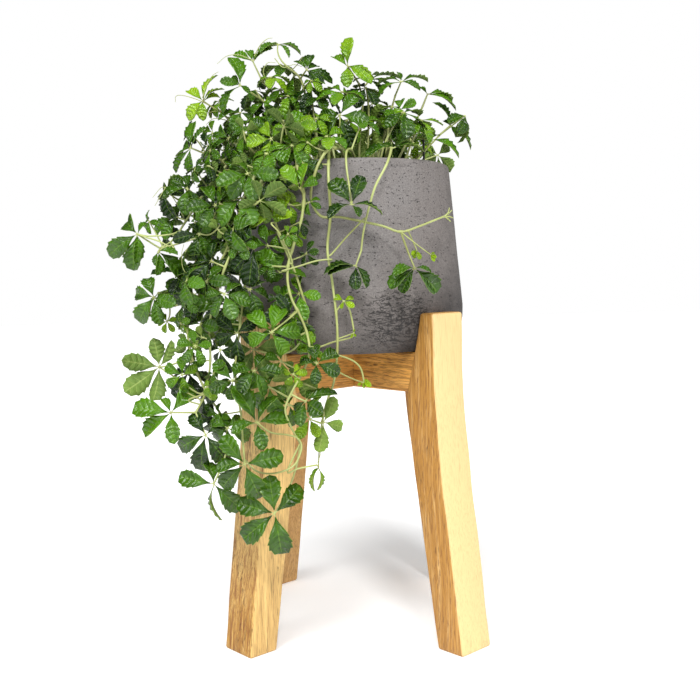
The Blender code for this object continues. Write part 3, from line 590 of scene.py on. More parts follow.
def grow_profile():
    inside = [(0.0, GROW_BASE + GROW_WALL), (GROW_FOOT - GROW_WALL, GROW_BASE + GROW_WALL),
              (GROW_RIM - GROW_WALL, GROW_TOP - 2.0)]
    rim = rounding(GROW_RIM + 0.7, GROW_TOP - 1.6, 1.5, 150, 0, 6)
    rim += [(GROW_RIM + 2.2, GROW_TOP - 6.0), (GROW_RIM + 0.8, GROW_TOP - 6.3),
            (GROW_RIM - 0.9, GROW_TOP - 9.0)]
    foot = rounding(GROW_FOOT - 1.0, GROW_BASE + 2.0, 2.0, 0, -90, 4)
    return inside + rim + foot + [(0.0, GROW_BASE)]


black_plastic, plastic_shader = new_material("black_plastic", roughness=0.42)
plastic_place = own_place(black_plastic)
plastic_dust = cloud(black_plastic, plastic_place, 120.0, detail=5.0)
wire(black_plastic, ramp(black_plastic, plastic_dust, (0.35, (0.010, 0.010, 0.011)),
                         (0.75, (0.030, 0.028, 0.026))), plastic_shader.inputs["Base Color"])
raised(black_plastic, plastic_shader, cloud(black_plastic, plastic_place, 700.0), 0.0001)

nursery_pot = turn_profile("nursery_pot", grow_profile(), 120)
nursery_pot.location = POT_AXIS
settle(nursery_pot)
bpy.ops.object.shade_smooth_by_angle(angle=math.radians(35))
finish_piece(nursery_pot, black_plastic, "grow_pot")
print("the nursery pot stands inside the clay pot")

# %% [markdown]
# The stub of the hanger strap is a flat band with raised edges. A cube at its size gets a sunk
# inset in each of its two broad faces, and a bevel for the moulded edges.

# %% Model the strap's stub
STRAP_TURN = -8.0
STRAP_THICK = 1.5
STRAP_WIDTH = 4.4


def make_strap():
    low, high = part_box("pot_strap")
    turn = math.radians(STRAP_TURN)
    strap = start_piece("hanger_strap", bpy.ops.mesh.primitive_cube_add, (low + high) / 2, size=1.0)
    strap.scale = (STRAP_THICK * MM, STRAP_WIDTH * MM, high.z - low.z)
    strap.rotation_euler = (0.0, 0.0, turn)
    settle(strap)
    outward = Vector((math.cos(turn), math.sin(turn), 0.0))
    bpy.ops.object.mode_set(mode="EDIT")
    mesh = bmesh.from_edit_mesh(strap.data)
    mesh.normal_update()
    for face in mesh.faces:
        face.select = abs(face.normal.dot(outward)) > 0.9
    bmesh.update_edit_mesh(strap.data)
    bpy.ops.mesh.inset(thickness=1.1 * MM, depth=-0.3 * MM, use_individual=True)
    bpy.ops.object.mode_set(mode="OBJECT")
    bevel_edges(strap, width=0.2, segments=2, angle=30)
    return strap


hanger_strap = make_strap()
finish_piece(hanger_strap, black_plastic, "pot_strap")
print("the strap's stub is beside the rim")

# %% [markdown]
# Potting mix is lumpy: a turned disc is pushed up and down by noise, and a few hundred crumbs
# of bark lie on it. One small crumb is modelled, and copies of it are turned and sized.

# %% Fill the pot with soil
SOIL_BASE, SOIL_TOP = [corner.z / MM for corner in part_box("soil")]
SOIL_RADIUS = 68.4
SOIL_FOOT = 54.0
SOIL_RINGS = 26
CRUMBS = 420


def soil_profile():
    surface = [(SOIL_RADIUS * ring / SOIL_RINGS, SOIL_TOP) for ring in range(SOIL_RINGS + 1)]
    return surface + [(SOIL_FOOT, SOIL_BASE), (0.0, SOIL_BASE)]


def make_soil():
    soil = turn_profile("potting_soil", soil_profile(), 110)
    for corner in soil.data.vertices:
        place = corner.co / MM
        if place.z > SOIL_TOP - 1.0 and math.hypot(place.x, place.y) < SOIL_RADIUS - 1.0:
            rise = noise.noise(place * 0.07) * 2.0 + noise.noise(place * 0.31) * 1.1
            corner.co.z += (rise - 0.6) * MM
    crumb = start_piece("crumb", bpy.ops.mesh.primitive_ico_sphere_add, subdivisions=1, radius=1.0)
    for corner in crumb.data.vertices:
        corner.co *= 1.0 + 0.45 * noise.noise(corner.co * 1.7)
    scatter = random.Random(5)
    mesh = bmesh.new()
    for _ in range(CRUMBS):
        start = len(mesh.verts)
        mesh.from_mesh(crumb.data)
        mesh.verts.ensure_lookup_table()
        angle = scatter.uniform(0, math.tau)
        radius = SOIL_RADIUS * 0.97 * math.sqrt(scatter.random())
        place = Vector((radius * math.cos(angle), radius * math.sin(angle), SOIL_TOP - 0.3))
        size = Vector([scatter.uniform(0.5, 2.1) for _ in range(3)])
        turn = Matrix.Rotation(scatter.uniform(0, math.tau), 4, "Z")
        turn @= Matrix.Rotation(scatter.uniform(0, math.tau), 4, "X")
        matrix = Matrix.Scale(MM, 4) @ Matrix.Translation(place) @ turn @ Matrix.Diagonal((*size, 1))
        bmesh.ops.transform(mesh, matrix=matrix, verts=mesh.verts[start:])
    mesh.to_mesh(crumb.data)
    mesh.free()
    soil.select_set(True)
    bpy.context.view_layer.objects.active = soil
    bpy.ops.object.join()
    soil.location = POT_AXIS
    settle(soil)
    bpy.ops.object.shade_smooth_by_angle(angle=math.radians(50))
    return soil


earth, earth_shader = new_material("earth", roughness=0.95)
earth_lumps = cloud(earth, own_place(earth), 210.0, detail=6.0, roughness=0.7)
wire(earth, ramp(earth, earth_lumps, (0.30, (0.012, 0.008, 0.005)), (0.52, (0.040, 0.026, 0.016)),
                 (0.72, (0.110, 0.075, 0.045))), earth_shader.inputs["Base Color"])
raised(earth, earth_shader, earth_lumps, 0.0012)
potting_soil = make_soil()
finish_piece(potting_soil, earth, "soil")
print(f"the soil has {len(potting_soil.data.polygons)} faces with its crumbs")

# %% [markdown]
# Each leg is sawn from a plank and splays out towards the floor. A cube is cut across at many
# heights by Bisect, each ring is moved to the leg's outline at its height, and the edges are
# bevelled. Low noise on the rings gives the uneven, hand-planed faces. The leg keeps a record
# of its own upright coordinates, so that the grain runs along it whichever way it leans.

# %% Shape a leg
LEG_WIDTH = 36.0
LEG_DEPTH = 100.0
LEG_TOP = 272.0
LEG_RINGS = 46
LEG_OUTER = [
    (0, 137.0), (46, 131.5), (93, 125.0), (135, 119.5), (165, 116.3), (190, 114.0),
    (208, 112.5), (230, 112.0), (272, 112.0),
]
LEG_INNER = [
    (0, 110.5), (39, 104.0), (87, 96.3), (120, 91.0), (152, 86.0), (184, 81.5), (204, 80.0),
    (239, 89.7), (254, 93.4), (272, 97.0),
]


def along(outline, height):
    """The outline's distance from the axis at a height."""
    for (low, near), (high, far) in zip(outline, outline[1:]):
        if height <= high:
            return near + (far - near) * (height - low) / (high - low)
    return outline[-1][1]


def make_leg(name, direction):
    leg = start_piece(name, bpy.ops.mesh.primitive_cube_add, (0.0, 0.0, LEG_TOP * MM / 2), size=1.0)
    leg.scale = (LEG_DEPTH * MM, LEG_WIDTH * MM, LEG_TOP * MM)
    settle(leg)
    bpy.ops.object.mode_set(mode="EDIT")
    for ring in range(1, LEG_RINGS):
        height = LEG_TOP * MM * ring / LEG_RINGS
        bpy.ops.mesh.select_all(action="SELECT")
        bpy.ops.mesh.bisect(plane_co=(0.0, 0.0, height), plane_no=(0.0, 0.0, 1.0))
    bpy.ops.object.mode_set(mode="OBJECT")
    for corner in leg.data.vertices:
        height = corner.co.z / MM
        outline = LEG_OUTER if corner.co.x > 0 else LEG_INNER
        seed = Vector((direction * 0.7, corner.co.x * 40, height * 0.03 + corner.co.y * 90))
        wave = noise.noise(seed) * 0.7
        side = noise.noise(seed + Vector((3, 5, 9))) * 0.5
        corner.co.x = (along(outline, height) + wave - 0.35) * MM
        corner.co.y = math.copysign(LEG_WIDTH / 2 - 0.2 + side, corner.co.y) * MM
    bevel_edges(leg, width=2.2, segments=3, angle=40)
    return leg


# %% [markdown]
# Faces that look to the front right get painted light: a paler wood colour that stands in for the light
# falling on that side, strongest on two faces of the stand's front. The share of painted light on each face
# is worked out from the way it faces, once the leg stands.

# %% Stand the legs in place
# The way the lit side looks: faces turned this way are painted paler as painted light
LIT_WAY = Vector((1.0, -1.0, 0.0)).normalized()


def keep_grain(piece, apart):
    """Stores the piece's upright coordinates, moved sideways so that no two pieces match."""
    grain = piece.data.attributes.new("grain", "FLOAT_VECTOR", "POINT")
    for corner in piece.data.vertices:
        grain.data[corner.index].vector = corner.co + Vector((apart, apart * 0.7, 0.0))


def keep_painted_light(piece, share):
    """Stores for each face its share of painted light: how far it looks towards the lit side, up to a
    share.
    """
    pale = piece.data.attributes.new("pale", "FLOAT", "FACE")
    for face in piece.data.polygons:
        facing = face.normal.dot(LIT_WAY)
        pale.data[face.index].value = share * max(0.0, min(1.0, facing * 1.6 - 0.3))


# The direction in degrees that each leg stands in, and how much painted light its right faces get
LEG_PLAN = {"leg_back_right": (45, 0.6), "leg_back_left": (135, 0.3),
            "leg_front_left": (225, 0.55), "leg_front_right": (315, 1.0)}
GRAIN_APART = 0.37
legs = {}
for number, (node, (direction, painted_light)) in enumerate(LEG_PLAN.items()):
    leg = make_leg(node.replace("leg_", "wooden_leg_"), direction)
    keep_grain(leg, GRAIN_APART * (number + 1))
    leg.rotation_euler = (0.0, 0.0, math.radians(direction))
    leg.location = POT_AXIS
    settle(leg)
    keep_painted_light(leg, painted_light)
    bpy.ops.object.shade_smooth_by_angle(angle=math.radians(30))
    legs[node] = leg
print(f"four legs of {len(leg.data.polygons)} faces each")

# %% [markdown]
# The wood is oiled: honey-coloured, with fine fibres and short dark pores drawn out along the grain, soft
# stains, and a few open checks that widen towards the feet. One front leg has weathered more than the rest,
# and its upper part is painted paler as painted light. Everything is read from the leg's own coordinates,
# squeezed along its length.

# %% Mix the wood
CHECK_DARK = (0.050, 0.022, 0.009)


def wood_material(name, place_of, pale_and_lit_color, mid_color, dark_color, weather, painted_top_light=0.0):
    """Honey-coloured wood. place_of gives the coordinates, with the grain along Z."""
    wood, shader = new_material(name, roughness=0.60)
    place = place_of(wood)
    sway = cloud(wood, stretched(wood, place, (1, 1, 0.25)), 40.0, detail=1.0)
    sway = compute(wood, "MULTIPLY_ADD", sway, 0.008, -0.004)
    shift = add(wood, "ShaderNodeCombineXYZ", {0: sway, 1: sway}).outputs[0]
    bent = add(wood, "ShaderNodeVectorMath", {0: place, 1: shift}, operation="ADD").outputs[0]
    # Each face's share of painted light; its grain, pores and checks are painted fainter in that share
    pale = stored(wood, "pale")
    strong = less(wood, 1.0, times(wood, pale, 0.75))
    bands = cloud(wood, stretched(wood, bent, (1, 1, 0.025)), 420.0, detail=3.0, roughness=0.55)
    fibres = cloud(wood, stretched(wood, bent, (1, 1, 0.03)), 1900.0, detail=3.0, roughness=0.6)
    stain = cloud(wood, stretched(wood, place, (1, 1, 0.22)), 55.0, detail=4.0, roughness=0.6)
    light = tuple(0.45 * part + 0.55 * other for part, other in zip(pale_and_lit_color, mid_color))
    color = ramp(wood, bands, (0.34, mid_color), (0.50, mid_color), (0.68, light))
    deep = tuple(0.7 * part + 0.3 * other for part, other in zip(mid_color, dark_color))
    color = blend(wood, ramp(wood, stain, (0.44, 0.0), (0.70, 0.35 + 0.45 * weather)), color, deep)
    height = axes(wood, place)["Z"]
    # Painted light: on the weathered leg the wood turns to its pale colour towards the top
    high = fade(wood, height, 0.03, 0.16)
    color = blend(wood, times(wood, high, painted_top_light), color, pale_and_lit_color)
    color = blend(wood, ramp(wood, bands, (0.34, 0.80 * weather), (0.49, 0.0)), color, dark_color)
    # Painted light: faces that look to the front right take the pale colour in their share
    color = blend(wood, pale, color, pale_and_lit_color)
    lines = times(wood, ramp(wood, fibres, (0.37, 0.85), (0.49, 0.0)), strong)
    color = blend(wood, lines, color, dark_color)
    knots = pores(wood, stretched(wood, bent, (1, 1, 0.12)), 620.0, 0.30, 0.16)
    knot_dark = tuple(0.4 * part for part in dark_color)
    color = blend(wood, times(wood, times(wood, knots, strong), 0.6), color, knot_dark)
    checks = cloud(wood, stretched(wood, bent, (1, 1, 0.02)), 520.0, detail=1.0)
    checks = ramp(wood, from_half(wood, checks), (0.0, 1.0), (0.018, 0.0))
    where = cloud(wood, stretched(wood, place, (1, 1, 0.3)), 70.0, detail=1.0)
    where = compute(wood, "MULTIPLY_ADD", fade(wood, height, 0.030, 0.0), 0.22, where)
    where = ramp(wood, where, (0.72 - 0.14 * weather, 0.0), (0.78 - 0.14 * weather, 1.0))
    checks = times(wood, times(wood, checks, where), strong)
    color = blend(wood, times(wood, checks, 0.85), color, CHECK_DARK)
    wire(wood, color, shader.inputs["Base Color"])
    relief = compute(wood, "MULTIPLY_ADD", fibres, 0.5, times(wood, bands, 0.4))
    relief = less(wood, times(wood, relief, strong), times(wood, checks, 1.2))
    raised(wood, shader, relief, 0.0007)
    return wood


def own_grain(material):
    return stored(material, "grain", "Vector")


# Each pale colour gives the grain's light bands and the painted light on the lit faces
LEG_PALE_AND_LIT = (0.830, 0.570, 0.260)
LEG_MID = (0.460, 0.222, 0.038)
LEG_DARK = (0.200, 0.078, 0.018)
leg_wood = wood_material("leg_wood", own_grain, LEG_PALE_AND_LIT, LEG_MID, LEG_DARK, 0.25)
# The weathered leg's pale colour also gives its painted light
OLD_PALE_AND_LIT = (0.860, 0.600, 0.230)
OLD_MID = (0.430, 0.215, 0.034)
OLD_DARK = (0.210, 0.070, 0.012)
weathered_wood = wood_material("weathered_wood", own_grain, OLD_PALE_AND_LIT, OLD_MID, OLD_DARK, 1.0, 1.0)
for node, leg in legs.items():
    wood = weathered_wood if node == "leg_front_left" else leg_wood
    finish_piece(leg, wood, node)
print("the legs have their wood")

# %% [markdown]
# The two crossed bars are halved into each other. Their solids are right as they are packed,
# so they stay and only get wood, with the grain turned to run along each bar.

# %% Dress the crossed bars
def along_bar(direction):
    """Coordinates with the grain along a bar that points in a direction in degrees."""
    def place_of(material):
        turned = add(material, "ShaderNodeMapping", {
            "Vector": own_place(material), "Location": (1.0, 0.0, 0.0),
            "Rotation": (0.0, 0.0, math.radians(-direction))}).outputs["Vector"]
        parts = axes(material, turned)
        return add(material, "ShaderNodeCombineXYZ", {
            0: parts["Y"], 1: parts["Z"], 2: parts["X"]}).outputs[0]
    return place_of


BAR_PALE = (0.860, 0.500, 0.160)
BAR_MID = (0.800, 0.395, 0.080)
BAR_DARK = (0.130, 0.042, 0.010)
for node, direction in (("cross_bar_a", 45), ("cross_bar_b", 135)):
    bar_wood = wood_material(node + "_wood", along_bar(direction), BAR_PALE, BAR_MID, BAR_DARK, 0.7)
    paint(nodes[node], bar_wood)
print("two bars dressed")

# %% [markdown]
# Now the plant. Each vine's stem keeps the route that the imported solid follows. The routes are points
# listed in millimetres from the pot's axis. A smooth curve through them gives the living line.

# %% Write down the stems' routes
STEM_FOOT = 385
ROUTES = {
    "vine_far_left": [
        (-40, -8, 385), (-58, -22, 404), (-80, -40, 409), (-100, -52, 396), (-118, -60, 373),
        (-132, -64, 352), (-143, -68, 336), (-153, -72, 329)],
    "vine_left_shoulder": [
        (-47, -22, 385), (-62, -38, 403), (-82, -56, 402), (-95, -68, 385), (-103, -74, 362),
        (-112, -76, 345), (-119, -78, 328), (-126, -78, 310), (-131, -78, 297)],
    "vine_left_middle": [
        (-36, -31, 385), (-58, -52, 402), (-75, -69, 398), (-86, -81, 380), (-93, -86, 355),
        (-96, -88, 330), (-100, -90, 305), (-112, -90, 292), (-128, -90, 285), (-143, -90, 282)],
    "vine_long_left": [
        (-32, -42, 385), (-50, -62, 402), (-63, -79, 398), (-74, -91, 378), (-84, -97, 350),
        (-96, -99, 322), (-112, -99, 298), (-126, -97, 276), (-127, -97, 252), (-121, -99, 230),
        (-112, -103, 212), (-101, -108, 196), (-96, -114, 178), (-98, -119, 164)],
    "vine_lower_left": [
        (-22, -36, 385), (-40, -62, 404), (-52, -82, 402), (-62, -97, 385), (-72, -105, 360),
        (-86, -108, 330), (-99, -108, 300), (-108, -108, 268), (-108, -110, 240),
        (-112, -112, 216), (-120, -114, 200)],
    "vine_leg": [
        (-41, -39, 385), (-59, -58, 401), (-69, -75, 396), (-76, -88, 372), (-78, -94, 345),
        (-78, -100, 318), (-81, -106, 290), (-84, -113, 262), (-87, -119, 238),
        (-86, -122, 216), (-83, -124, 198), (-82, -127, 180)],
    "vine_front_bright": [
        (-25, -48, 385), (-33, -66, 402), (-38, -84, 401), (-37, -99, 388), (-32, -106, 367),
        (-34, -107, 348), (-40, -107, 330), (-45, -108, 314), (-46, -109, 300),
        (-43, -111, 286), (-36, -114, 272), (-31, -117, 258), (-30, -119, 244),
        (-35, -121, 231), (-43, -123, 217), (-49, -125, 203), (-45, -127, 190),
        (-38, -128, 177)],
    "vine_front_cross": [
        (-31, -49, 385), (-47, -66, 404), (-53, -80, 399), (-59, -93, 380), (-58, -98, 358),
        (-53, -99, 338), (-47, -100, 322), (-41, -101, 307), (-36, -103, 291),
        (-32, -106, 276), (-34, -109, 260), (-42, -112, 248), (-54, -114, 243)],
    "vine_front_middle": [
        (-9, -50, 385), (-12, -68, 402), (-13, -85, 400), (-13, -100, 380), (-12, -104, 350),
        (-15, -104, 324), (-12, -105, 300), (-9, -107, 270), (-9, -110, 245),
        (-12, -113, 222), (-18, -115, 206), (-22, -116, 190)],
    "vine_rim_right": [
        (26, -42, 385), (33, -62, 402), (36, -82, 402), (32, -98, 388), (23, -103, 371),
        (17, -103, 352), (13, -103, 336), (11, -103, 322)],
    "vine_side_shoot": [
        (0, -36, 385), (-4, -62, 404), (-7, -84, 403), (-13, -93, 402), (-22, -101, 386),
        (-27, -101, 364), (-20, -97, 350), (-6, -96, 349), (12, -96, 345), (28, -98, 341),
        (42, -100, 336), (56, -96, 340), (69, -89, 345), (79, -80, 349)],
    "vine_rim_middle": [
        (9, -50, 385), (5, -68, 402), (1, -85, 401), (1, -98, 388), (3, -102, 371)],
    "vine_top_far_left": [
        (-54, -2, 385), (-64, -12, 402), (-78, -22, 415), (-93, -29, 430), (-106, -32, 443)],
    "vine_top_left": [
        (-54, -13, 385), (-72, -27, 403), (-90, -38, 408), (-106, -43, 403), (-118, -46, 407)],
    "vine_top_arch": [
        (-28, -18, 385), (-36, -20, 405), (-46, -22, 426), (-58, -25, 442), (-72, -28, 453)],
    "vine_top_tall": [
        (-30, 2, 385), (-36, -4, 410), (-48, -10, 438), (-62, -16, 458), (-72, -22, 470)],
    "vine_top_curl": [
        (-14, -22, 385), (-22, -25, 405), (-31, -27, 430), (-35, -27, 455), (-39, -26, 470),
        (-47, -27, 478)],
    "vine_top_middle": [
        (10, -20, 385), (9, -22, 405), (11, -22, 430), (13, -20, 450), (10, -18, 466)],
    "vine_top_right": [
        (22, -10, 385), (25, -8, 405), (31, -6, 425), (37, -4, 445), (41, -3, 458)],
    "vine_right_high": [
        (37, -16, 385), (43, -14, 403), (52, -10, 420), (58, -6, 434), (64, -3, 447)],
    "vine_right_far": [
        (47, 2, 385), (56, 4, 402), (67, 5, 412), (79, 4, 424)],
}

# Vines on the far side follow a rule: direction, distance of the root, arch, lowest height
BACK_VINES = [
    (76, 44, 424, 366), (94, 54, 416, 322), (110, 38, 438, 350), (127, 56, 414, 292),
    (146, 42, 430, 326), (163, 58, 412, 258), (180, 38, 432, 330), (55, 30, 446, 412),
]


def back_route(direction, distance, arch, lowest, sway):
    """Points of a vine that climbs out of the soil, passes the rim and hangs down in a wave."""
    middle = (arch + lowest) / 2 - 8
    stops = [(distance, STEM_FOOT, 0), (distance + 16, arch - 14, 1), (80, arch - 2, 2),
             (98, arch - 16, 0), (102, (arch + middle) / 2 - 8, -3), (104, middle, 1),
             (108, (middle + lowest) / 2, 4), (112, lowest, 0)]
    points = []
    for far, height, turn in stops:
        angle = math.radians(direction + turn * sway)
        points.append((math.cos(angle) * far, math.sin(angle) * far, height))
    return points


for number, plan in enumerate(BACK_VINES):
    ROUTES[f"vine_back_{number + 1}"] = back_route(*plan, sway=1.0 if number % 2 else -1.0)
print(f"{len(ROUTES)} vines")

# %% Draw smooth lines
def smooth_line(points, count):
    """A Catmull-Rom curve through points, with count steps to each stretch."""
    ends = [points[0] * 2 - points[1], *points, points[-1] * 2 - points[-2]]
    line = []
    for index in range(1, len(ends) - 2):
        before, start, end, after = ends[index - 1:index + 3]
        for step in range(count):
            t = step / count
            line.append(0.5 * (2 * start + (end - before) * t
                               + (2 * before - 5 * start + 4 * end - after) * t * t
                               + (3 * start - before - 3 * end + after) * t * t * t))
    line.append(points[-1].copy())
    return line


def stem_line(name):
    """A vine's route from under the soil to its tip."""
    x, y, z = ROUTES[name][0]
    points = [spot(x, y, z - 10)] + [spot(*place) for place in ROUTES[name]]
    return smooth_line(points, 5)


# %% [markdown]
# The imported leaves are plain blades, but each keeps a flat five-cornered middle. That is
# enough to read where every leaf sits, which way it faces, where its middle leaflet points
# and how long that leaflet is, so each fine leaf starts from its solid's own place.

# %% Read the leaves' places off the solids
HUB_RADIUS = 2.1 * MM
CLOSE = 0.03 * MM
TIP_DROOP = 0.16


def read_leaf(face, corners):
    """A leaf's middle, upper side, middle leaflet and length from its flat middle face."""
    places = [corner.co.copy() for corner in face.verts]
    gaps = []
    for index in range(5):
        before = (places[index] - places[index - 1]).length
        after = (places[(index + 1) % 5] - places[index]).length
        gaps.append(before + after)
    back = gaps.index(max(gaps))
    front = (places[(back + 2) % 5] + places[(back + 3) % 5]) / 2
    middle = (front - places[back]).normalized()
    hub = places[back] + middle * HUB_RADIUS
    if max(abs((place - hub).length - HUB_RADIUS) for place in places) > CLOSE:
        return None
    upper = face.normal.copy()
    across = upper.cross(middle)
    for corner in corners:
        offset = corner.co - hub
        reach = offset.dot(middle)
        if reach > 4 * MM and abs(offset.dot(across)) < CLOSE:
            if abs(offset.dot(upper) + TIP_DROOP * reach) < CLOSE:
                return dict(hub=hub, upper=upper, middle=middle, reach=reach)
    return None


def read_leaves(node):
    mesh = bmesh.new()
    mesh.from_mesh(nodes[node].data)
    bmesh.ops.remove_doubles(mesh, verts=mesh.verts, dist=1e-6)
    bmesh.ops.dissolve_limit(mesh, angle_limit=math.radians(0.2), verts=mesh.verts,
                             edges=mesh.edges)
    mesh.normal_update()
    found = []
    for face in mesh.faces:
        if len(face.verts) == 5:
            leaf = read_leaf(face, mesh.verts)
            if leaf is not None:
                found.append(leaf)
    mesh.free()
    return found


packed_leaves = {name: read_leaves(name) for name in ROUTES}
all_packed = [leaf for leaves in packed_leaves.values() for leaf in leaves]
print(f"{len(all_packed)} packed leaves were found")

# %% [markdown]
# A leaflet is modelled once for each shape and then copied. A grid is shaped row by row: thin
# at its base, widest past the middle, with coarse teeth that point forward. The blade is folded
# up along its midrib, swells at each tooth, sinks at each notch and droops at its tip. Solidify
# gives it a real thickness, with its own material underneath. Three shapes, folded and drooping
# by different amounts, and a narrow one for young leaves keep the plant from looking stamped.

# %% Shape the leaflets
# Rows along the blade: share of its length, half width as a share of its length. From the
# fifth row on, every other row is a tooth, and the row after it a notch or the tip.
BLADE_ROWS = [
    (0.00, 0.014), (0.11, 0.044), (0.23, 0.112), (0.35, 0.196), (0.47, 0.274), (0.515, 0.248),
    (0.63, 0.330), (0.675, 0.290), (0.79, 0.312), (0.835, 0.256), (0.935, 0.196), (1.00, 0.000),
]
FIRST_TOOTH = 4
BLADE_COLUMNS = 4
BLADE_THICKNESS = 0.014


def make_leaflet(name, fold, droop, twist, breadth):
    """One leaflet of length 1 along Y, its upper side towards Z."""
    rows = len(BLADE_ROWS) - 1
    leaflet = start_piece(name, bpy.ops.mesh.primitive_grid_add, x_subdivisions=BLADE_COLUMNS,
                          y_subdivisions=rows, size=1.0)
    for corner in leaflet.data.vertices:
        across = corner.co.x * 2.0
        row = round((corner.co.y + 0.5) * rows)
        share, width = BLADE_ROWS[row]
        tooth = row >= FIRST_TOOTH and row % 2 == 0
        side = across * width * breadth
        forward = share + (0.020 if tooth else -0.004) * (abs(across) > 0.9) * (row < rows)
        height = fold * abs(side) + 0.20 * share - droop * share * share
        if abs(across) > 0.9:
            height += 0.012 if tooth else -0.016
        elif abs(across) > 0.2:
            height += 0.034 if tooth else 0.000
        height += twist * side * (share - 0.3)
        corner.co = Vector((side, forward, height))
    shell = leaflet.modifiers.new("Solidify", "SOLIDIFY")
    shell.thickness = BLADE_THICKNESS
    shell.offset = -1.0
    shell.material_offset = 1
    shell.material_offset_rim = 1
    for side_name in ("_top", "_under"):
        leaflet.data.materials.append(bpy.data.materials.new(name + side_name))
    bpy.ops.object.mode_set(mode="EDIT")
    bpy.ops.mesh.select_all(action="SELECT")
    bpy.ops.mesh.remove_doubles(threshold=0.002)
    bpy.ops.object.mode_set(mode="OBJECT")
    apply_modifiers(leaflet)
    bpy.ops.object.shade_smooth()
    mesh = leaflet.data
    bpy.data.objects.remove(leaflet)
    return mesh


leaflet_shapes = [
    make_leaflet("leaflet_open", fold=0.24, droop=0.34, twist=0.12, breadth=1.04),
    make_leaflet("leaflet_folded", fold=0.52, droop=0.36, twist=-0.36, breadth=1.02),
    make_leaflet("leaflet_drooping", fold=0.34, droop=0.66, twist=0.46, breadth=1.06),
]
young_shape = make_leaflet("leaflet_young", fold=0.75, droop=0.55, twist=0.2, breadth=0.72)
print(f"a leaflet has {len(leaflet_shapes[0].polygons)} faces")

# %% [markdown]
# Five leaflets fan out from the end of each leaf stalk. Small random turns, sizes and bends
# for each leaflet, from one seeded draw for each vine, make every leaf its own. A posed leaf
# says instead where each of its leaflets points and how long it looks from the front. The rest
# of its length goes into the depth: away from the viewer for a leaflet that rises, towards them
# for any other.

# %% Build a leaf
LEAFLETS = [(0.0, 1.0), (63.0, 0.94), (124.0, 0.78), (-124.0, 0.78), (-63.0, 0.94)]
BLADE_START = 0.08
FULLNESS = 1.06
# A posed leaflet's depth is at most this share of its seen length
DEEPEST = 0.55
STEEP_TILT = 50


def leaf_frame(look, clock):
    """Upper side and middle leaflet's direction from the way a leaf looks and points."""
    upper = Vector(look).normalized()
    angle = math.radians(clock)
    middle = Vector((math.cos(angle), 0.0, math.sin(angle)))
    middle = (middle - upper * middle.dot(upper)).normalized()
    return upper, middle


def add_leaflet(mesh, tone_layer, shape, matrix, tone):
    start = len(mesh.verts)
    mesh.from_mesh(shape)
    mesh.verts.ensure_lookup_table()
    new = mesh.verts[start:]
    bmesh.ops.transform(mesh, matrix=matrix, verts=new)
    for corner in new:
        corner[tone_layer] = tone


def place_leaflet(mesh, tone_layer, shape, hub, out, up, length, breadth, tone):
    """Adds a leaflet that points out from a leaf's middle. Returns where its small stalk ends."""
    side = out.cross(up)
    size = length * (1.0 - BLADE_START)
    base = hub + out * (length * BLADE_START)
    matrix = Matrix.Identity(4)
    for row in range(3):
        matrix[row][0] = side[row] * size * breadth
        matrix[row][1] = out[row] * size
        matrix[row][2] = up[row] * size
        matrix[row][3] = base[row]
    add_leaflet(mesh, tone_layer, shape, matrix, tone)
    return base + out * (size * 0.12)


def posed_ways(leaf):
    """For each leaflet of a posed leaf: the way it points, its upper side and its length."""
    looks_back = leaf["upper"].y > 0
    for turn, seen, tilt in leaf["pose"]:
        full = max(leaf["reach"] / MM, seen)
        angle = math.radians(turn)
        depth = min(math.sqrt(full * full - seen * seen), seen * DEEPEST)
        if math.sin(angle) < 0.2:
            depth = -min(depth, max(0.0, (leaf["hub"].y - cad_low.y) / MM))
        out = Vector((math.cos(angle) * seen, depth, math.sin(angle) * seen))
        length = out.length * MM
        out.normalize()
        flat = Vector((0.0, -1.0, 0.0))
        up = (flat - out * flat.dot(out)).normalized()
        turns = [Matrix.Rotation(math.radians(side * tilt), 3, out) @ up for side in (1, -1)]
        up = max(turns, key=lambda way: way.z)
        yield out, -up if looks_back else up, length, tilt


def add_posed_leaf(mesh, tone_layer, leaf, draw):
    """Adds a posed leaf's leaflets. Returns the lines of their small stalks."""
    stalks = []
    for out, up, length, tilt in posed_ways(leaf):
        shape = leaflet_shapes[-1] if tilt > STEEP_TILT else draw.choice(leaflet_shapes)
        if leaf.get("young"):
            shape = young_shape
        breadth = draw.uniform(0.80, 0.94)
        tone = leaf["tone"] + draw.uniform(-0.06, 0.06)
        end = place_leaflet(mesh, tone_layer, shape, leaf["hub"], out, up, length, breadth, tone)
        stalks.append([leaf["hub"] - up * 0.3 * MM, end])
    return stalks


def add_leaf(mesh, tone_layer, leaf, draw, tone):
    """Adds a leaf's five leaflets. Returns the lines of their small stalks."""
    if "pose" in leaf:
        return add_posed_leaf(mesh, tone_layer, leaf, draw)
    upper = leaf["upper"]
    middle = leaf["middle"]
    across = upper.cross(middle)
    droop = leaf.get("droop", draw.uniform(-4, 16))
    stalks = []
    shape = young_shape if leaf.get("young") else draw.choice(leaflet_shapes)
    for turn, share in LEAFLETS:
        angle = math.radians(turn + draw.uniform(-7, 7))
        length = leaf["reach"] * FULLNESS * share * draw.uniform(0.93, 1.05)
        out = middle * math.cos(angle) + across * math.sin(angle)
        beside = across * math.cos(angle) - middle * math.sin(angle)
        tilt = Matrix.Rotation(math.radians(droop + draw.uniform(-12, 14)), 3, beside)
        roll = Matrix.Rotation(math.radians(draw.uniform(-16, 16)), 3, out)
        out = tilt @ out
        up = roll @ (tilt @ upper)
        breadth = draw.uniform(0.80, 1.00)
        if shape is not young_shape and draw.random() < 0.3:
            shape = draw.choice(leaflet_shapes)
        end = place_leaflet(mesh, tone_layer, shape, leaf["hub"], out, up, length, breadth,
                            tone + draw.uniform(-0.08, 0.08))
        stalks.append([leaf["hub"] - upper * 0.3 * MM, end])
    return stalks


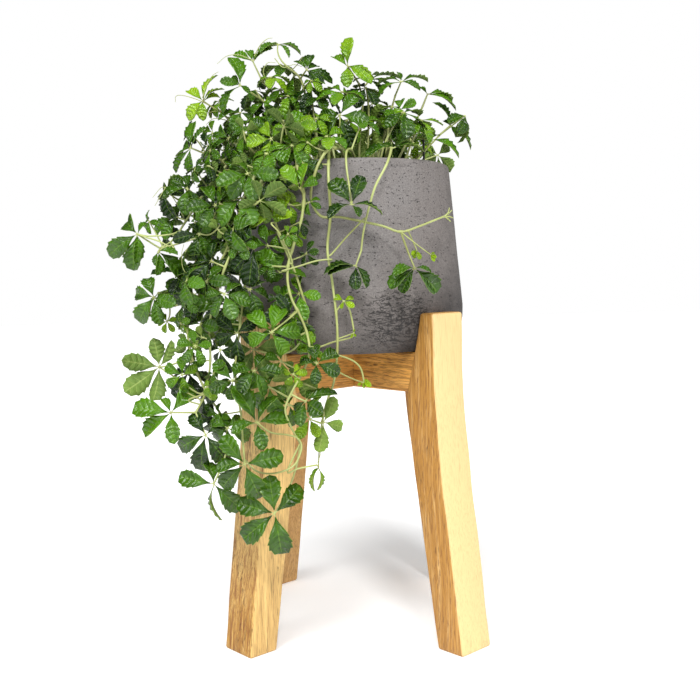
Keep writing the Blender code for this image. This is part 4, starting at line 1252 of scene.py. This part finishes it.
# %% [markdown]
# Stems, leaf stalks and tendrils are lines with a thickness. One curve object holds them all
# for a vine, each as its own spline with a radius at every point, so that stems swell at the
# joints where a leaf stalk leaves and tendrils taper to a hair.

# %% Draw stems, stalks and tendrils
STEM_RADIUS = 1.35 * MM
TIP_RADIUS = 0.75 * MM
STALK_RADIUS = 0.70 * MM
LEAFLET_STALK_RADIUS = 0.38 * MM
TENDRIL_RADIUS = 0.30 * MM
STEM_LOOK, STALK_LOOK, TENDRIL_LOOK = 0, 1, 2
# No leaf stalk leaves a stem before this point of its line, which is just above the soil
FIRST_JOINT = 6
STALK_STEPS = 8


def add_line(curve, points, radii, look):
    spline = curve.splines.new("POLY")
    spline.points.add(len(points) - 1)
    for mark, place, radius in zip(spline.points, points, radii):
        mark.co = (*place, 1.0)
        mark.radius = radius / MM
    spline.material_index = look


def leaf_stalk(line, leaf):
    """The stalk's line from the stem to the leaf's middle, and the stem point it leaves."""
    passing = leaf.get("via")
    goal = leaf.get("root", passing if passing is not None else leaf["hub"])
    start = min(range(FIRST_JOINT, len(line)), key=lambda index: (line[index] - goal).length)
    first = line[start]
    bend = passing if passing is not None else first.lerp(leaf["hub"], 0.55)
    rise = (leaf["hub"] - bend).dot(leaf["upper"])
    wanted = (leaf["hub"] - bend).length * 0.45
    if rise < wanted:
        bend = bend - leaf["upper"] * (wanted - rise)
    end = leaf["hub"] - leaf["upper"] * 0.2 * MM
    path = []
    for step in range(STALK_STEPS + 1):
        t = step / STALK_STEPS
        path.append(first * (1 - t) ** 2 + bend * 2 * t * (1 - t) + end * t * t)
    return path, start


print("lines are ready to be drawn")

# %% [markdown]
# The stalks of three leaves take the long way round, so the point that each passes is kept here beside its
# leaf's place. A few leaves are still young and narrow. The tendrils that show against the white are listed
# here as well, and so are a few upright shoots that carry one leaf each: a leaf is its middle's place, its
# length, the way its middle leaflet points in the front view in degrees from the right, and the way it
# looks. The leaves that stand out most are posed leaflet by leaflet, because no two of them hang alike.
# Some of their stalks start at a given joint, and a few long stalks cross in front of the leaves and carry
# none.

# %% Note the details that a rule would miss
BOWED = [((-57, -134, 262), (-35, -126, 281)), ((-57, -136, 122), (-42, -130, 152)),
         ((-57, -28, 497), (-60, -28, 487))]
YOUNG = [(-25, -120, 160), (-57, -28, 497), (-49, -34, 455)]
SAME_LEAF = 22
SAME_PLACE = 1.5
TENDRILS = {
    "vine_far_left": [
        [(-134, -66, 354), (-140, -72, 368), (-148, -74, 378), (-157, -74, 370)],
        [(-146, -74, 378), (-150, -76, 371), (-155, -76, 363)]],
    "vine_top_far_left": [
        [(-106, -32, 443), (-122, -36, 452), (-136, -36, 457), (-143, -36, 457), (-144, -36, 452)],
        [(-121, -35, 455), (-117, -35, 466), (-112, -35, 473), (-107, -35, 476)],
        [(-102, -31, 439), (-110, -33, 444), (-121, -34, 441)],
        [(-100, -31, 436), (-112, -33, 438), (-119, -34, 433)]],
    "vine_top_tall": [
        [(-79, -30, 486), (-90, -32, 490), (-100, -33, 489), (-108, -33, 483)],
        [(-77, -30, 489), (-72, -31, 497), (-66, -32, 502), (-61, -32, 503)],
        [(-66, -24, 466), (-70, -28, 476), (-66, -30, 483), (-59, -30, 483)]],
    "vine_top_curl": [
        [(-46, -27, 477), (-40, -30, 482), (-36, -31, 487)],
        [(-60, -28, 487), (-53, -30, 479), (-44, -30, 481), (-37, -30, 479)]],
    "vine_left_middle": [
        [(-104, -90, 296), (-128, -92, 308), (-131, -93, 322), (-129, -93, 331)]],
    "vine_front_middle": [
        [(-22, -117, 186), (-25, -121, 178), (-23, -122, 168), (-27, -121, 158)]],
}
FRONT = (0.00, -0.96, 0.28)
UP = (0.04, -0.50, 0.87)
LEFT = (-0.60, -0.72, 0.35)
# A packed leaf's x and z, how far its middle moves, its tone, and for each leaflet: its angle in
# the front view, its seen length in millimetres, and how far its face turns away in degrees
POSED = [
    ((5, 357), (0, 0), 0.10, [(124, 25, 15), (70, 23, 5), (2, 23, 66), (189, 18, 64), (307, 11, 40)]),
    ((7, 311), (0, 0), 0.08, [(192, 23, 45), (268, 18, 20), (313, 16, 55), (172, 24, 76)]),
    ((52, 308), (0, 0), 0.24, [(212, 25, 40), (239, 22, 20), (315, 26, 32), (176, 15, 58), (3, 11, 60)]),
    ((64, 318), (0, 0), 0.95, [(300, 6, 20), (20, 4, 40), (330, 5, 10)]),
    ((53, 323), (1, -1), 0.95, [(250, 7, 10), (290, 8, 10), (215, 5, 30)]),
    ((-57, 122), (-1, 3), 0.22, [(163, 30, 10), (97, 29, 5), (42, 28, 0), (218, 33, 8), (278, 33, 10)]),
    ((-79, 162), (1, 3), 0.24, [(128, 27, 10), (173, 20, 50), (12, 28, 10), (221, 28, 10), (292, 30, 12)]),
    ((-71, 192), (1, 2), 0.28, [(118, 33, 35), (67, 24, 50), (14, 24, 38), (180, 17, 58), (287, 19, 10)]),
    ((-105, 146), (0, 1), 0.26, [(167, 28, 10), (257, 27, 78), (314, 30, 10), (100, 18, 40)]),
    ((-111, 184), (0, 0), 0.12, [(130, 21, 10), (38, 22, 10), (204, 26, 10), (306, 27, 10), (255, 31, 12)]),
    ((-145, 197), (5, 3), 0.48, [(171, 31, 25), (215, 29, 32), (49, 25, 0), (281, 22, 10), (124, 14, 40)]),
    ((-33, 196), (2, -2), 0.72, [(146, 17, 10), (77, 21, 50), (20, 13, 30), (235, 17, 0), (300, 14, 15)]),
    ((-15, 194), (-5, -2), 0.50, [(61, 19, 15), (350, 16, 5), (261, 23, 15)]),
    ((-25, 160), (0, -3), 0.70, [(242, 19, 72), (281, 18, 72), (225, 7, 30)]),
    ((-170, 342), (-1, -1), 0.30, [(137, 23, 0), (214, 27, 0), (259, 30, 5), (285, 20, 50), (58, 12, 40)]),
    ((-157, 291), (3, -1), 0.28, [(114, 18, 10), (166, 21, 10), (230, 25, 10), (280, 22, 10),
                                  (344, 19, 15)]),
    ((-153, 235), (0, -1), 0.20, [(106, 22, 5), (168, 28, 5), (215, 34, 5), (264, 27, 8), (54, 19, 30)]),
    ((-95, 283), (0, 0), 0.18, [(171, 23, 32), (231, 33, 5), (272, 26, 10), (350, 22, 35), (60, 16, 40)]),
    ((-112, 322), (4, 0), 0.16, [(45, 13, 20), (301, 20, 10), (250, 18, 0), (110, 23, 20), (175, 18, 50)]),
    ((-122, 340), (5, -1), 0.10, [(190, 18, 5), (254, 21, 5), (130, 12, 40), (300, 18, 40), (60, 14, 50)]),
    ((-110, 363), (7, -2), 0.22, [(185, 21, 20), (239, 18, 5), (120, 20, 25), (60, 20, 20), (330, 18, 30)]),
    ((-142, 355), (0, 0), 0.34, [(200, 23, 42), (235, 18, 15), (100, 12, 55), (20, 14, 55)]),
    ((-131, 378), (3, -2), 0.22, [(180, 19, 58), (259, 18, 15), (146, 18, 20), (104, 16, 30),
                                  (300, 14, 40)]),
    ((-153, 323), (3, 3), 0.32, [(250, 10, 40), (288, 16, 62), (321, 28, 40), (10, 14, 60)]),
    ((-136, 284), (0, 0), 0.30, [(118, 23, 10), (259, 21, 30), (317, 20, 50), (30, 12, 30), (170, 14, 50)]),
    ((-80, 386), (5, -2), 0.32, [(234, 20, 0), (353, 24, 10), (200, 24, 20), (285, 22, 20), (125, 16, 60)]),
    ((-58, 354), (0, -4), 0.78, [(194, 19, 30), (55, 21, 10), (5, 16, 35), (115, 9, 30)]),
    ((-70, 326), (0, 1), 0.06, [(125, 23, 10), (152, 26, 20), (225, 25, 0), (259, 31, 0)]),
    ((-52, 309), (-1, -2), 0.34, [(130, 23, 5), (100, 17, 20), (5, 20, 45)]),
    ((-34, 370), (0, 0), 0.52, [(126, 22, 20), (80, 20, 40), (30, 15, 10)]),
    ((-18, 281), (15, 3), 0.85, [(155, 9, 20), (20, 8, 30), (330, 9, 10), (250, 6, 30)]),
    ((10, 262), (-6, -3), 0.95, [(240, 4, 30), (70, 3, 30), (300, 3, 30)]),
    ((9, 218), (1, 3), 0.95, [(340, 7, 20), (210, 4, 30), (290, 4, 20), (20, 6, 40)]),
    ((-122, 454), (1, -1), 0.82, [(222, 18, 25), (266, 14, 10), (24, 14, 50), (48, 19, 60),
                                  (78, 24, 45), (140, 18, 25)]),
    ((-79, 486), (0, 0), 0.46, [(156, 18, 30), (112, 13, 20), (70, 13, 30), (38, 20, 50), (52, 25, 74)]),
    ((-87, 462), (0, 0), 0.34, [(93, 25, 45), (170, 15, 10), (217, 24, 60), (327, 9, 30), (135, 13, 15)]),
    ((-57, 497), (0, 2), 0.40, [(350, 20, 62), (320, 14, 48), (195, 15, 52)]),
    ((-33, 475), (0, 0), 0.12, [(115, 18, 15), (78, 16, 10), (40, 13, 20), (346, 23, 30), (316, 18, 25)]),
    ((-31, 427), (1, -6), 0.52, [(132, 24, 10), (41, 27, 12), (12, 15, 60), (165, 17, 60)]),
    ((1, 479), (0, 0), 0.62, [(137, 17, 30), (88, 24, 30), (332, 21, 30), (270, 18, 5), (352, 24, 62)]),
    ((18, 473), (0, 0), 0.20, [(23, 27, 72), (358, 18, 72), (150, 14, 60), (60, 12, 60), (330, 15, 60)]),
    ((43, 469), (3, -2), 0.30, [(26, 23, 62), (348, 15, 48), (153, 20, 68), (193, 24, 70), (100, 10, 40)]),
    ((69, 459), (0, 0), 0.36, [(350, 27, 56), (12, 23, 56), (133, 11, 40)]),
    ((89, 433), (0, 0), 0.34, [(59, 17, 5), (135, 8, 20), (104, 24, 68), (330, 26, 56), (300, 8, 30)]),
    ((72, 420), (-1, -2), 0.42, [(141, 31, 56), (344, 27, 52), (157, 16, 72), (45, 9, 40)]),
    ((47, 446), (-3, -4), 0.42, [(28, 16, 0), (88, 14, 10), (200, 13, 30), (280, 11, 30)]),
    ((21, 452), (0, 0), 0.12, [(262, 16, 0), (225, 14, 20), (20, 14, 50), (150, 12, 50)]),
    ((38, 415), (0, -10), 0.16, [(176, 21, 70), (14, 23, 70), (150, 14, 60), (40, 15, 60)]),
]
# Leaves whose stalks start at a given joint: a packed leaf's x and z, and the joint
ROOTED = {(-18, 281): (-9, -108, 276), (10, 262): (3, -107, 256), (9, 218): (10, -111, 228),
          (52, 308): (41, -100, 337), (64, 318): (41, -100, 337), (53, 323): (52, -100, 329)}
# The side shoot's torn end: where it splits, and the middle and tip of each fibre
TORN_END = (77, -82, 348)
FRAYED = {"vine_side_shoot": [
    [TORN_END, (80, -80, 350), (83, -79, 353)], [TORN_END, (81, -80, 348), (84, -78, 347)],
    [TORN_END, (80, -81, 351), (81, -81, 355)], [TORN_END, (80, -80, 346), (82, -79, 344)],
]}
# Long leafless stalks that cross in front of the leaves
LOOSE = {
    "vine_rim_right": [[(14, -101, 347), (7, -103, 340), (-1, -104, 332), (-12, -104, 320)]],
    "vine_front_middle": [
        [(-12, -106, 316), (-24, -108, 315), (-38, -110, 311), (-50, -110, 308)],
        [(1, -106, 277), (3, -107, 268), (4, -107, 260), (3, -107, 256), (-4, -108, 254),
         (-13, -109, 252), (-22, -110, 249)],
        [(-9, -110, 242), (-2, -111, 240), (4, -111, 237), (8, -111, 233), (10, -111, 228),
         (11, -111, 221)]],
    "vine_front_cross": [[(-57, -112, 344), (-51, -112, 337), (-45, -111, 324),
                          (-42, -108, 314)]],
    "vine_left_shoulder": [
        [(-98, -92, 354), (-98, -94, 348), (-102, -94, 342), (-109, -92, 338)],
        [(-96, -92, 353), (-95, -94, 348), (-92, -96, 346), (-88, -97, 346), (-85, -98, 351),
         (-81, -98, 360), (-79, -96, 368)]],
    "vine_far_left": [
        [(-162, -76, 339), (-151, -78, 339), (-142, -76, 340), (-138, -72, 342)],
        [(-163, -76, 338), (-151, -80, 334), (-141, -80, 328), (-139, -80, 326)],
        [(-152, -84, 325), (-147, -85, 329), (-134, -86, 332), (-117, -86, 337)]],
    "vine_left_middle": [
        [(-123, -92, 303), (-114, -96, 305), (-106, -96, 308)],
        [(-123, -94, 300), (-111, -98, 303)]],
    "vine_long_left": [[(-152, -90, 233), (-138, -100, 226), (-120, -104, 214)]],
    "vine_lower_left": [[(-125, -116, 210), (-114, -116, 214), (-105, -114, 217)]],
    "vine_leg": [[(-80, -133, 166), (-71, -137, 158), (-58, -138, 156), (-44, -134, 160),
                  (-38, -131, 169), (-37, -130, 177), (-41, -130, 182), (-48, -130, 184),
                  (-60, -130, 186)]],
    "vine_front_bright": [[(-48, -131, 156), (-40, -131, 158), (-27, -124, 159)]],
}
SHOOTS = {
    "vine_top_middle": [
        [(16, -28, 385), (17, -30, 415), (18, -28, 440), (17, -26, 456), (16, -28, 461, 22, 190, UP)],
        [(-4, -34, 385), (-5, -36, 410), (-4, -36, 425), (0, -38, 433, 21, 20, UP)]],
    "vine_top_right": [
        [(30, -24, 385), (33, -24, 415), (36, -20, 438), (38, -20, 446, 18, 255, UP)],
        [(24, -32, 385), (30, -34, 410), (41, -32, 432), (47, -32, 439, 25, -20, UP)]],
    "vine_top_curl": [
        [(-20, -34, 385), (-24, -38, 410), (-28, -36, 440), (-30, -34, 460, 22, 210, UP)],
        [(-24, -30, 385), (-30, -40, 408), (-38, -44, 425), (-45, -48, 437, 20, 120, UP)]],
    "vine_top_tall": [
        [(-38, -4, 385), (-48, -12, 415), (-60, -20, 440), (-70, -26, 452, 22, 170, UP)],
        [(-34, -12, 385), (-44, -22, 420), (-52, -26, 440), (-56, -28, 462, 20, 40, UP)]],
    "vine_top_arch": [
        [(-44, -20, 385), (-60, -32, 410), (-74, -40, 424), (-84, -46, 428, 23, 100, FRONT)],
        [(-38, -26, 385), (-56, -42, 408), (-66, -50, 416), (-70, -54, 423, 21, 60, LEFT)]],
    "vine_top_left": [
        [(-58, -20, 385), (-80, -36, 400), (-96, -46, 404), (-104, -52, 400, 24, 215, LEFT)]],
    "vine_right_high": [
        [(44, -24, 385), (50, -26, 405), (58, -26, 424), (62, -26, 433, 20, 15, UP)]],
}


def note_details(leaf):
    """Marks a leaf that is young or posed, and one whose stalk is bowed or has a set joint."""
    for place, passing in BOWED:
        if (leaf["hub"] - spot(*place)).length < SAME_LEAF * MM:
            leaf["via"] = spot(*passing)
    for place in YOUNG:
        if (leaf["hub"] - spot(*place)).length < SAME_LEAF * MM / 2:
            leaf["young"] = True
    here = (leaf["hub"] - POT_AXIS) / MM
    for (x, z), shift, tone, leaflets in POSED:
        if math.hypot(here.x - x, here.z - z) < SAME_PLACE:
            leaf["pose"] = leaflets
            leaf["tone"] = tone
            leaf["hub"] = leaf["hub"] + Vector((shift[0], 0.0, shift[1])) * MM
            if (x, z) in ROOTED:
                leaf["root"] = spot(*ROOTED[(x, z)])


def shoot_leaf(plan):
    """The leaf at the end of a shoot, from its plan."""
    x, y, z, reach, clock, look = plan
    upper, middle = leaf_frame(look, clock)
    return dict(hub=spot(x, y, z), upper=upper, middle=middle, reach=reach * MM, droop=22.0)


for leaf in all_packed:
    note_details(leaf)
for mark, meaning in (("pose", "posed"), ("young", "young"), ("via", "bowed"), ("root", "jointed")):
    print(f"{sum(mark in leaf for leaf in all_packed)} leaves are {meaning}")

# %% [markdown]
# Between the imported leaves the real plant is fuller, with leaves at most joints. They are grown
# by rule. At each joint a leaf is tried several times, and the first is kept that stays clear of
# the pot, the legs and the middles of the other leaves.

# %% Find room for more leaves
# In millimetres: the gap kept to the pot and legs, a distance that counts as far, how much a
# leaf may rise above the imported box, the radius where legs begin, and how far down the wall
# takes to widen
CLEARANCE = 2.0
FAR_OFF = 100.0
PROUD = 4.0
INNER_LEG = 60.0
WALL_FLARE = 120.0


def outside_pot(place):
    """Distance of a place from the pot's wall or above its rim, in millimetres."""
    share = max(0.0, min(1.0, (POT_BASE + POT_HEIGHT - place.z) / WALL_FLARE))
    wall = POT_RIM + (POT_WAIST - POT_RIM) * share
    return max(math.hypot(place.x, place.y) - wall, place.z - POT_BASE - POT_HEIGHT)


def outside_legs(place):
    """Distance of a place from the nearest leg, in millimetres."""
    best = FAR_OFF
    if place.z > LEG_TOP + CLEARANCE:
        return best
    for direction, _ in LEG_PLAN.values():
        turn = math.radians(direction)
        out = place.x * math.cos(turn) + place.y * math.sin(turn)
        side = abs(place.y * math.cos(turn) - place.x * math.sin(turn))
        if out > INNER_LEG:
            best = min(best, max(out - along(LEG_OUTER, place.z), side - LEG_WIDTH / 2))
    return best


def fits(leaf):
    """True where a leaf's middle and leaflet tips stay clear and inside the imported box."""
    across = leaf["upper"].cross(leaf["middle"])
    places = [leaf["hub"]]
    for turn, share in LEAFLETS:
        angle = math.radians(turn)
        out = leaf["middle"] * math.cos(angle) + across * math.sin(angle)
        places.append(leaf["hub"] + out * leaf["reach"] * share)
        places.append(leaf["hub"] + out * leaf["reach"] * share * 0.6)
    for place in places:
        from_axis = (place - POT_AXIS) / MM
        if min(outside_pot(from_axis), outside_legs(from_axis)) < CLEARANCE:
            return False
        if place.x < cad_low.x or place.y < cad_low.y or place.y > cad_high.y:
            return False
        if place.z > cad_high.z + PROUD * MM:
            return False
    return True


JOINT_GAP = 13.0 * MM
FIRST_GROWN = 8
TRIES = 9
# In front, no added leaf reaches to the right of this x below this height, which leaves the
# wall bare
BARE_FROM = -14.0
BARE_BELOW = 428.0
# Elsewhere, to the right of this x, no added leaf reaches above this height, and of those that
# are nearer to the viewer than this y, this share is left out
SPARSE_FROM = 0.0
SPARSE_BELOW = 462.0
SPARSE_BEFORE = 30.0
SPARSENESS = 0.75


def joints(line):
    """Places along a stem about one joint apart, each with its index."""
    passed = 0.0
    for index in range(FIRST_GROWN, len(line)):
        passed += (line[index] - line[index - 1]).length
        if passed > JOINT_GAP:
            passed = 0.0
            yield index, line[index]


def leaf_at_joint(base, heading, draw):
    """One leaf tried at a joint: umbrella-like high up, hanging and turned about lower down."""
    place = (base - POT_AXIS) / MM
    high = place.z > BARE_BELOW
    out = Vector((place.x, place.y, 0.0)).normalized()
    side = Vector((-out.y, out.x, 0.0))
    away = out * 0.6 + side * draw.uniform(-1.3, 1.3)
    away += Vector((0.0, 0.7 if place.y < 0 else 0.0, draw.uniform(0.2, 1.2 if high else 0.7)))
    away.normalize()
    small = draw.random() < 0.22
    reach = draw.uniform(11, 15) if small else draw.uniform(18, 26)
    if high:
        upper = out * 0.4 + Vector((draw.uniform(-0.6, 0.6), draw.uniform(-0.8, 0.2), 1.0))
    else:
        upper = out + Vector((draw.uniform(-0.9, 0.9), draw.uniform(-0.6, 0.1),
                              draw.uniform(-0.2, 1.1)))
    upper.normalize()
    turned = draw.random() < 0.10
    if turned:
        upper = (upper * -0.8 + Vector((0.0, 0.0, 0.5))).normalized()
    middle = away + heading * 0.5 + Vector((0.0, 0.0, 0.0 if high else -1.0))
    middle = (middle - upper * middle.dot(upper)).normalized()
    droop = draw.uniform(16, 42) if high else draw.uniform(-2, 32)
    return dict(hub=base + away * draw.uniform(12, 30) * MM, upper=upper, middle=middle,
                reach=reach * MM, droop=-8.0 if turned else droop, grown=True)


def more_leaves(line, taken, draw):
    """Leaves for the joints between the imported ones, mostly behind them."""
    grown = []
    for index, base in joints(line):
        heading = (line[min(index + 1, len(line) - 1)] - line[index - 1]).normalized()
        for _ in range(TRIES):
            leaf = leaf_at_joint(base, heading, draw)
            place = (leaf["hub"] - POT_AXIS) / MM
            if place.y < 0 and place.z < BARE_BELOW:
                if place.x + leaf["reach"] / MM * 0.8 > BARE_FROM:
                    continue
            elif place.x > SPARSE_FROM and place.z + leaf["reach"] / MM > SPARSE_BELOW:
                continue
            elif place.y < SPARSE_BEFORE and place.x > SPARSE_FROM and draw.random() < SPARSENESS:
                continue
            crowd = min((leaf["hub"] - other).length for other in taken)
            if crowd > leaf["reach"] * 0.70 and fits(leaf):
                grown.append(leaf)
                taken.append(leaf["hub"])
                break
    return grown


all_hubs = [leaf["hub"] for leaf in all_packed]
print(f"{len(all_hubs)} leaf middles to keep clear of")

# %% [markdown]
# A leaf's upper side is dark and glossy, with a pale midrib and side veins, and the blade quilted between
# them. Its underside is paler and dull. The tone that each leaf carries goes from dark old leaves to
# yellow-green young ones. Each blade's rim is painted yellow-green as painted light, where its edge catches
# the light. The veins are drawn in the leaflet's own UV map, so they follow each blade.

# %% Mix the leaf materials
VEINS = 5.5


def vein_masks(material):
    """All veins of a leaflet, its midrib alone, the wave between side veins, its rim for painted light, its
    UV.
    """
    uv = add(material, "ShaderNodeUVMap", uv_map="UVMap").outputs["UV"]
    parts = axes(material, uv)
    from_middle = times(material, from_half(material, parts["X"]), 2.0)
    rib = fade(material, from_middle, 0.09, 0.02)
    slanted = compute(material, "MULTIPLY_ADD", from_middle, -0.16, parts["Y"])
    wave = from_half(material, compute(material, "FRACT", times(material, slanted, VEINS)))
    side_vein = times(material, fade(material, wave, 0.10, 0.015), 0.75)
    # The rim, where the blade is painted paler as painted light
    rim_light = fade(material, from_middle, 0.90, 1.0)
    return compute(material, "MAXIMUM", rib, side_vein), rib, wave, rim_light, uv


def leaf_material(name, dark, mid, young, vein_color, vein_strength, roughness, specular):
    leaf, shader = new_material(name, roughness=roughness)
    shader.inputs["Specular IOR Level"].default_value = specular
    veins, rib, wave, rim_light, uv = vein_masks(leaf)
    blotch = compute(leaf, "MULTIPLY_ADD", cloud(leaf, own_place(leaf), 95.0), 0.50, -0.25)
    tone = compute(leaf, "ADD", stored(leaf, "tone"), blotch)
    color = ramp(leaf, tone, (0.05, dark), (0.5, mid), (0.95, young))
    net = add(leaf, "ShaderNodeTexVoronoi", {"Vector": uv, "Scale": 26.0},
              feature="DISTANCE_TO_EDGE").outputs["Distance"]
    net = ramp(leaf, net, (0.0, 1.0), (0.09, 0.0))
    # The last mark paints light on the rim in the young colour
    for mask, strength, shade in ((net, 0.06, vein_color), (veins, vein_strength, vein_color),
                                  (rib, 0.26, vein_color), (rim_light, 0.22, young)):
        color = blend(leaf, times(leaf, mask, strength), color, shade)
    wire(leaf, color, shader.inputs["Base Color"])
    quilt = less(leaf, wave, times(leaf, veins, 0.16))
    quilt = less(leaf, quilt, times(leaf, net, 0.03))
    raised(leaf, shader, quilt, 0.0013)
    return leaf


leaf_top = leaf_material("leaf_top", (0.004, 0.024, 0.001), (0.082, 0.220, 0.005),
                         (0.330, 0.530, 0.014), (0.210, 0.380, 0.030), 0.10, 0.22, 0.50)
leaf_under = leaf_material("leaf_under", (0.110, 0.190, 0.035), (0.190, 0.310, 0.045),
                           (0.320, 0.460, 0.060), (0.380, 0.480, 0.130), 0.45, 0.55, 0.30)
print("upper side and underside")

# %% Mix the stem materials
def stem_material(name, pale, deep, mottle_scale, roughness):
    stem, shader = new_material(name, roughness=roughness)
    place = own_place(stem)
    mottle = cloud(stem, place, mottle_scale)
    wire(stem, ramp(stem, mottle, (0.36, pale), (0.66, deep)), shader.inputs["Base Color"])
    raised(stem, shader, cloud(stem, stretched(stem, place, (1, 1, 0.3)), 900.0), 0.00015)
    return stem


stem_look = stem_material("stem", (0.460, 0.520, 0.190), (0.270, 0.290, 0.085), 26.0, 0.45)
stalk_look = stem_material("leaf_stalk", (0.470, 0.560, 0.210), (0.300, 0.400, 0.100), 40.0, 0.42)
tendril_look = stem_material("tendril", (0.060, 0.048, 0.032), (0.120, 0.110, 0.050), 60.0, 0.55)
print("stems, stalks and tendrils")

# %% [markdown]
# Each vine is put together from its lines and its leaves and joined into one piece, which then
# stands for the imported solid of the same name. A loose stalk would hang in the air seen from the
# side, so both its ends run on to the nearest stem or leaf middle.

# %% Grow the vines
TONES = {"vine_front_bright": 0.42, "vine_top_far_left": 0.50, "vine_front_middle": 0.50,
         "vine_top_left": 0.22, "vine_top_right": 0.40, "vine_right_far": 0.42,
         "vine_right_high": 0.38, "vine_top_middle": 0.38}
PLAIN_TONE = 0.30
FIRST_SEED = 100

stem_marks = [mark for name in ROUTES for mark in stem_line(name)] + all_hubs
joins = []


def joined_to(end):
    """The stem point or leaf middle that a loose stalk's end runs to. Its depth counts least."""
    mark = min(stem_marks, key=lambda mark: (4 * (mark.x - end.x) ** 2 + 4 * (mark.z - end.z) ** 2
                                             + (mark.y - end.y) ** 2))
    joins.append((mark - end).length / MM)
    return mark


def draw_lines(name, line, leaves, stalks):
    """The curve object with a vine's stem, stalks and tendrils, as a mesh object."""
    curve = bpy.data.curves.new(name + "_lines", "CURVE")
    curve.dimensions = "3D"
    curve.bevel_depth = MM
    curve.bevel_resolution = 1
    curve.use_fill_caps = True
    last = len(line) - 1
    radii = [STEM_RADIUS + (TIP_RADIUS - STEM_RADIUS) * index / last for index in range(last + 1)]
    for leaf in leaves:
        path, start = leaf_stalk(line, leaf)
        radii[start] *= 1.25
        thin = min(1.0, 0.55 + leaf["reach"] / (50 * MM))
        taper = [STALK_RADIUS * thin * (1.25 - 0.35 * step / STALK_STEPS)
                 for step in range(STALK_STEPS + 1)]
        add_line(curve, path, taper, STALK_LOOK)
    add_line(curve, line, radii, STEM_LOOK)
    for path in stalks:
        add_line(curve, path, [LEAFLET_STALK_RADIUS * 1.2, LEAFLET_STALK_RADIUS * 0.5], STALK_LOOK)
    for shoot in SHOOTS.get(name, []):
        path = smooth_line([spot(*place[:3]) for place in shoot], 6)
        add_line(curve, path, [STALK_RADIUS * 1.3] * len(path), STALK_LOOK)
    for plan in LOOSE.get(name, []):
        marks = [spot(*place) for place in plan]
        path = smooth_line([joined_to(marks[0]), *marks, joined_to(marks[-1])], 5)
        add_line(curve, path, [STALK_RADIUS] * len(path), STEM_LOOK)
    for plan in FRAYED.get(name, []):
        path = [spot(*place) for place in plan]
        add_line(curve, path, [TIP_RADIUS, STALK_RADIUS * 0.8, LEAFLET_STALK_RADIUS], STALK_LOOK)
    for plan in TENDRILS.get(name, []):
        path = smooth_line([spot(*place) for place in plan], 6)
        taper = [TENDRIL_RADIUS * (1.5 - 0.9 * step / (len(path) - 1)) for step in range(len(path))]
        add_line(curve, path, taper, TENDRIL_LOOK)
    for material in (stem_look, stalk_look, tendril_look):
        curve.materials.append(material)
    lines = bpy.data.objects.new(name + "_lines", curve)
    bpy.context.scene.collection.objects.link(lines)
    select_only(lines)
    bpy.ops.object.convert(target="MESH")
    return lines


def grow_vine(name, number):
    draw = random.Random(FIRST_SEED + number)
    line = stem_line(name)
    leaves = packed_leaves[name] + more_leaves(line, all_hubs, draw)
    tips = [shoot_leaf(shoot[-1]) for shoot in SHOOTS.get(name, [])]
    mesh = bmesh.new()
    tone_layer = mesh.verts.layers.float.new("tone")
    mesh.loops.layers.uv.new("UVMap")
    base_tone = TONES.get(name, PLAIN_TONE)
    stalks = []
    for leaf in leaves + tips:
        small = max(0.0, 1.0 - leaf["reach"] / (22 * MM))
        # Leaves grown by rule sit mostly inside the mass, so their tone is lowered as painted shade
        tone = base_tone + draw.uniform(-0.31, 0.31) + 0.45 * small - 0.14 * leaf.get("grown", 0)
        tone += 0.4 * leaf.get("young", 0)
        stalks += add_leaf(mesh, tone_layer, leaf, draw, tone)
    blades = bpy.data.objects.new(name.replace("vine_", "ivy_"), bpy.data.meshes.new(name))
    mesh.to_mesh(blades.data)
    mesh.free()
    bpy.context.scene.collection.objects.link(blades)
    for material in (leaf_top, leaf_under):
        blades.data.materials.append(material)
    lines = draw_lines(name, line, leaves, stalks)
    select_only(lines)
    blades.select_set(True)
    bpy.context.view_layer.objects.active = blades
    bpy.ops.object.join()
    bpy.ops.object.shade_smooth()
    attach(blades, "root")
    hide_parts(name)
    return blades, len(leaves) + len(tips)


leaf_count = 0
face_count = 0
for number, name in enumerate(ROUTES):
    vine, count = grow_vine(name, number)
    leaf_count += count
    face_count += len(vine.data.polygons)
print(f"{leaf_count} leaves, {face_count} faces in all the vines")
print("loose stalks run on to a stem or leaf by", [round(gap, 1) for gap in joins], "mm")
